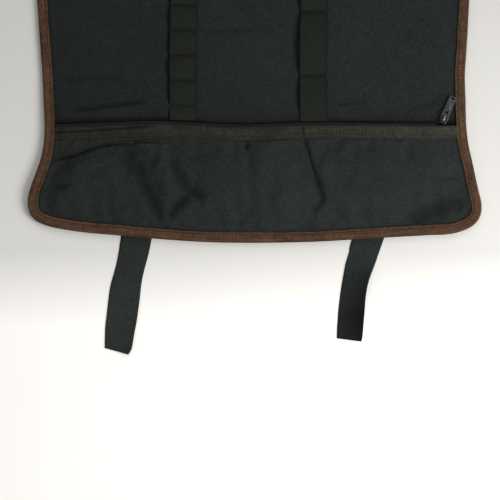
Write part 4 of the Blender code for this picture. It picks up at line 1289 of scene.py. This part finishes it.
def hinge_matrix():
    """Place and turn of the slider: its X runs along the tab, its origin on the hinge."""
    axis = Vector(HINGE["axis"]).normalized()
    way = Vector((0, 0, 1)).cross(axis)
    turn = Matrix((way, -axis, Vector((0, 0, 1)))).transposed()
    return Matrix.Translation(Vector(HINGE["pos_m"])) @ turn.to_4x4()


def make_slider():
    """Zip slider: two plates on a wedge, turned-down flanges and a wire bridge."""
    low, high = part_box("zip_slider")
    length, width, plate = 11.6 * MM, 9.5 * MM, 1.0 * MM
    hinge = Vector(HINGE["pos_m"])
    reach = (8.8 / 2 - 1.1 - 1.2) * MM
    base = low.z - hinge.z
    body_top = base + 3.7 * MM
    bm = bmesh.new()

    def block(size, place, narrow=1.0, flare=1.0):
        verts = bmesh.ops.create_cube(bm, size=1.0)["verts"]
        bmesh.ops.scale(bm, vec=size, verts=verts)
        for vertex in verts:
            vertex.co.y *= narrow if vertex.co.x < 0 else flare
        bmesh.ops.translate(bm, vec=place, verts=verts)
        return verts

    block((length, width, plate), (-reach, 0, base + plate / 2), 0.8)
    block((length, width, plate), (-reach, 0, body_top - plate / 2), 0.8)
    block((length * 0.66, width * 0.42, 2.0 * MM), (-reach, 0, base + 1.85 * MM), 0.7)
    for side in (-1, 1):
        for level in (base + plate + 0.25 * MM, body_top - plate - 0.25 * MM):
            block((length * 0.78, 0.8 * MM, 0.7 * MM),
                  (-reach - 0.6 * MM, side * width * 0.40, level))
    bmesh.ops.bevel(bm, geom=bm.edges[:], offset=0.28 * MM, segments=3, profile=0.5,
                    affect="EDGES", material=-1)
    half, wire, wide = 4.4 * MM, 0.52 * MM, 1.0 * MM
    top = body_top + 3.8 * MM - wire
    shoulder = 1.5 * MM
    path = [(-half + wire, body_top - 0.4 * MM), (-half + wire, top - shoulder)]
    for step in range(1, 6):
        angle = pi - step * pi / 12
        path.append((-half + wire + shoulder + shoulder * cos(angle),
                     top - shoulder + shoulder * sin(angle)))
    path += [(-x, z) for x, z in path[::-1]]
    angles = np.arange(12) / 12 * 2 * pi
    points = np.array([(x - reach, 0.0, z) for x, z in path])
    way = np.gradient(points, axis=0)
    way /= np.linalg.norm(way, axis=1)[:, None]
    out = np.stack([-way[:, 2], way[:, 1], way[:, 0]], 1)
    rings = (points[:, None] + np.cos(angles)[None, :, None] * wide * np.array([0, 1, 0])
             + np.sin(angles)[None, :, None] * wire * out[:, None])
    bmesh.ops.transform(bm, matrix=hinge_matrix(), verts=bm.verts)
    mesh = bpy.data.meshes.new("slider_body")
    bm.to_mesh(mesh)
    bm.free()
    # The slider body's metal is darkened, which paints its shade.
    piece = new_piece("slider_body", mesh, gunmetal("slider metal", 0.45, 0.22))
    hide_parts("zip_slider")
    bridge = skin("slider_bridge", rings, np.zeros((len(points), 13, 2)))
    bridge.transform(hinge_matrix())
    # The bridge's metal is lightened, which paints a highlight on it.
    new_piece("slider_bridge", bridge, gunmetal("bridge metal", 1.8, 0.18))
    return piece


def round_box(start, end, width, radius, steps=6):
    """Outline points of a round-cornered box along X."""
    corners = ((start, -width / 2), (end, -width / 2), (end, width / 2), (start, width / 2))
    inner = ((1, 1), (-1, 1), (-1, -1), (1, -1))
    points = []
    for index, ((x, y), (sx, sy)) in enumerate(zip(corners, inner)):
        for step in range(steps + 1):
            angle = pi + index * pi / 2 + step * pi / 2 / steps
            points.append((x + sx * radius + radius * cos(angle),
                           y + sy * radius + radius * sin(angle)))
    return points


def make_pull_tab():
    """The flat pull tab with its bar, slot, eye and a pressed panel."""
    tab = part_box("pull_tab")
    length, width, thick, bar, slot = 22.5 * MM, 8.0 * MM, 1.1 * MM, 1.2 * MM, 4.6 * MM
    way = hinge_matrix().to_3x3() @ Vector((1, 0, 0))
    far_low = tab[0].z
    drop = np.arctan2(HINGE["pos_m"][2] - far_low - thick / 2, length)
    curve = bpy.data.curves.new("tab outline", "CURVE")
    curve.dimensions = "2D"
    curve.fill_mode = "BOTH"
    curve.extrude = thick / 2 - 0.22 * MM
    curve.bevel_depth = 0.22 * MM
    curve.bevel_resolution = 2
    curve.offset = -0.22 * MM
    eye = width / 2
    outlines = (
        round_box(-bar / 2, length, width, width / 4),
        round_box(bar / 2, bar / 2 + slot, 3.2 * MM, 0.8 * MM),
        round_box(length - 0.75 * eye, length - 0.35 * eye, eye, 0.15 * eye),
    )
    for points in outlines:
        line = curve.splines.new("POLY")
        line.points.add(len(points) - 1)
        for place, (x, y) in zip(line.points, points):
            place.co = (x, y, 0, 1)
        line.use_cyclic_u = True
    flat = bpy.data.objects.new("tab outline", curve)
    bpy.context.scene.collection.objects.link(flat)
    bpy.context.view_layer.update()
    solid = flat.evaluated_get(bpy.context.evaluated_depsgraph_get())
    bm = bmesh.new()
    bm.from_mesh(solid.to_mesh())
    bpy.data.objects.remove(flat)
    bmesh.ops.remove_doubles(bm, verts=bm.verts[:], dist=0.005 * MM)
    ridge = bmesh.ops.create_cube(bm, size=1.0)["verts"]
    bmesh.ops.scale(bm, vec=(9.0 * MM, 3.6 * MM, 0.35 * MM), verts=ridge)
    bmesh.ops.translate(bm, vec=(12.0 * MM, 0, thick / 2 + 0.05 * MM), verts=ridge)
    rims = list({edge for vertex in ridge for edge in vertex.link_edges})
    bmesh.ops.bevel(bm, geom=rims, offset=0.16 * MM, segments=2, profile=0.5,
                    affect="EDGES", material=-1)
    tilt = Matrix.Rotation(float(drop), 4, "Y")
    bmesh.ops.transform(bm, matrix=hinge_matrix() @ tilt, verts=bm.verts)
    mesh = bpy.data.meshes.new("tab_plate")
    bm.to_mesh(mesh)
    bm.free()
    piece = new_piece("tab_plate", mesh, gunmetal("tab metal", 0.66, 0.38),
                      TAB_BODY)
    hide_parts("pull_tab")
    return piece


# Stage

def make_stage():
    """A pale floor with painted light on it, soft lights and the camera of the photograph."""
    bm = bmesh.new()
    bmesh.ops.create_grid(bm, x_segments=1, y_segments=1, size=4.0)
    bmesh.ops.translate(bm, vec=(0, 0, -0.05 * MM), verts=bm.verts)
    mesh = bpy.data.meshes.new("floor")
    bm.to_mesh(mesh)
    bm.free()
    floor = bpy.data.objects.new("floor", mesh)
    bpy.context.scene.collection.objects.link(floor)
    finish = Finish("pale floor")
    x, y, _ = finish.axes(finish.place())
    # Painted light on the floor: darker towards the top and brighter below the roll's end.
    below = ((ROLL_END - 9 * MM - y) * 13.0).clamp(0.0, 1.0)
    light = (0.63 - y * 0.45).clamp(0.56, 0.72) + below * 0.36
    mottle = finish.noise(finish.place(), 6.0, 2.0) * 0.03 + 0.985
    mesh.materials.append(finish.feed(finish.shade((*colours().floor,), light * mottle), 0.65))
    scene = bpy.context.scene
    scene.view_settings.view_transform = "Standard"
    world = bpy.data.worlds.new("soft room")
    world.use_nodes = True
    world.node_tree.nodes["Background"].inputs["Color"].default_value = (1, 1, 1, 1)
    world.node_tree.nodes["Background"].inputs["Strength"].default_value = 0.36
    scene.world = world
    target = Vector((*spot(*PHOTO_CENTRE), 0.0))
    for name, place, size, power in (
            ("key light", (0.95, -0.42, 1.05), 0.80, 21.0),
            ("top light", (0.2, 1.1, 1.7), 1.4, 9.0)):
        lamp = bpy.data.lights.new(name, "AREA")
        lamp.shape = "SQUARE"
        lamp.size = size
        lamp.energy = power
        light_object = bpy.data.objects.new(name, lamp)
        scene.collection.objects.link(light_object)
        light_object.location = target + Vector(place)
        aim = target - light_object.location
        light_object.rotation_euler = aim.to_track_quat("-Z", "Y").to_euler()
    camera = bpy.data.cameras.new("camera")
    camera.sensor_fit = "HORIZONTAL"
    distance = 2.4
    camera.lens = camera.sensor_width * distance / (PHOTO_WIDTH * PIXEL * 1.0035)
    eye = bpy.data.objects.new("camera", camera)
    scene.collection.objects.link(eye)
    elevation = radians(89)
    eye.location = target + distance * Vector((0, -cos(elevation), sin(elevation)))
    eye.rotation_euler = (pi / 2 - elevation, 0, 0)
    scene.camera = eye


def declare_cloth():
    """Read the box of each webbing column's node; nothing is stated or kept."""
    for column in COLUMNS:
        low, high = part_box(column.node)


# Operators, one for each piece or group of pieces

class KNIFEROLL_OT_stage(bpy.types.Operator):
    """Set the floor, the lights and the camera"""
    bl_idname = "kniferoll.stage"
    bl_label = "Stage"

    def execute(self, context):
        make_stage()
        return {"FINISHED"}


class KNIFEROLL_OT_panel(bpy.types.Operator):
    """Make the padded body cloth"""
    bl_idname = "kniferoll.panel"
    bl_label = "Body Panel"

    def execute(self, context):
        make_panel_cloth()
        return {"FINISHED"}


class KNIFEROLL_OT_pocket(bpy.types.Operator):
    """Make the pocket's front with its folds"""
    bl_idname = "kniferoll.pocket"
    bl_label = "Pocket Front"

    def execute(self, context):
        make_pocket_cloth()
        return {"FINISHED"}


class KNIFEROLL_OT_binding(bpy.types.Operator):
    """Make the edge binding and its stitches"""
    bl_idname = "kniferoll.binding"
    bl_label = "Edge Binding"

    def execute(self, context):
        make_binding()
        return {"FINISHED"}


class KNIFEROLL_OT_zip(bpy.types.Operator):
    """Make the zip tape, its stitches and the coil"""
    bl_idname = "kniferoll.zip"
    bl_label = "Zip"

    def execute(self, context):
        make_zip_band()
        make_coil()
        return {"FINISHED"}


class KNIFEROLL_OT_slider(bpy.types.Operator):
    """Make the zip slider and its pull tab"""
    bl_idname = "kniferoll.slider"
    bl_label = "Slider and Tab"

    def execute(self, context):
        make_slider()
        make_pull_tab()
        return {"FINISHED"}


class KNIFEROLL_OT_webbing(bpy.types.Operator):
    """Make the two webbing columns and their tacks"""
    bl_idname = "kniferoll.webbing"
    bl_label = "Loop Webbing"

    def execute(self, context):
        for column in COLUMNS:
            make_webbing(column)
        return {"FINISHED"}


class KNIFEROLL_OT_straps(bpy.types.Operator):
    """Make the two closing straps"""
    bl_idname = "kniferoll.straps"
    bl_label = "Closing Straps"

    def execute(self, context):
        make_strap("left_strap", "strap_left", LEFT_STRAP, 3.6 * MM, 2.2 * MM)
        make_strap("right_strap", "strap_right", RIGHT_STRAP, 1.5 * MM, 0.6 * MM)
        return {"FINISHED"}


class KNIFEROLL_PT_panel(bpy.types.Panel):
    """Lists the roll's sizes, colours and pieces in the sidebar"""
    bl_idname = "KNIFEROLL_PT_panel"
    bl_label = "Knife Roll"
    bl_space_type = "VIEW_3D"
    bl_region_type = "UI"
    bl_category = "Knife Roll"

    def draw(self, context):
        layout = self.layout
        for group in (context.scene.roll_sizes, context.scene.roll_colours):
            box = layout.box()
            for key in group.__annotations__:
                box.prop(group, key)
        for operator in OPERATORS:
            layout.operator(operator.bl_idname)


OPERATORS = (
    KNIFEROLL_OT_stage,
    KNIFEROLL_OT_panel,
    KNIFEROLL_OT_pocket,
    KNIFEROLL_OT_binding,
    KNIFEROLL_OT_zip,
    KNIFEROLL_OT_slider,
    KNIFEROLL_OT_webbing,
    KNIFEROLL_OT_straps,
)
CLASSES = (RollSizes, RollColours, *OPERATORS, KNIFEROLL_PT_panel)


def register():
    for cls in CLASSES:
        bpy.utils.register_class(cls)
    bpy.types.Scene.roll_sizes = bpy.props.PointerProperty(type=RollSizes)
    bpy.types.Scene.roll_colours = bpy.props.PointerProperty(type=RollColours)


def unregister():
    del bpy.types.Scene.roll_colours
    del bpy.types.Scene.roll_sizes
    for cls in reversed(CLASSES):
        bpy.utils.unregister_class(cls)


def main():
    register()
    bpy.ops.kniferoll.stage()
    bpy.ops.kniferoll.panel()
    bpy.ops.kniferoll.pocket()
    bpy.ops.kniferoll.binding()
    bpy.ops.kniferoll.zip()
    bpy.ops.kniferoll.slider()
    bpy.ops.kniferoll.webbing()
    bpy.ops.kniferoll.straps()
    declare_cloth()
    bpy.context.view_layer.update()


if __name__ == "__main__":
    main()
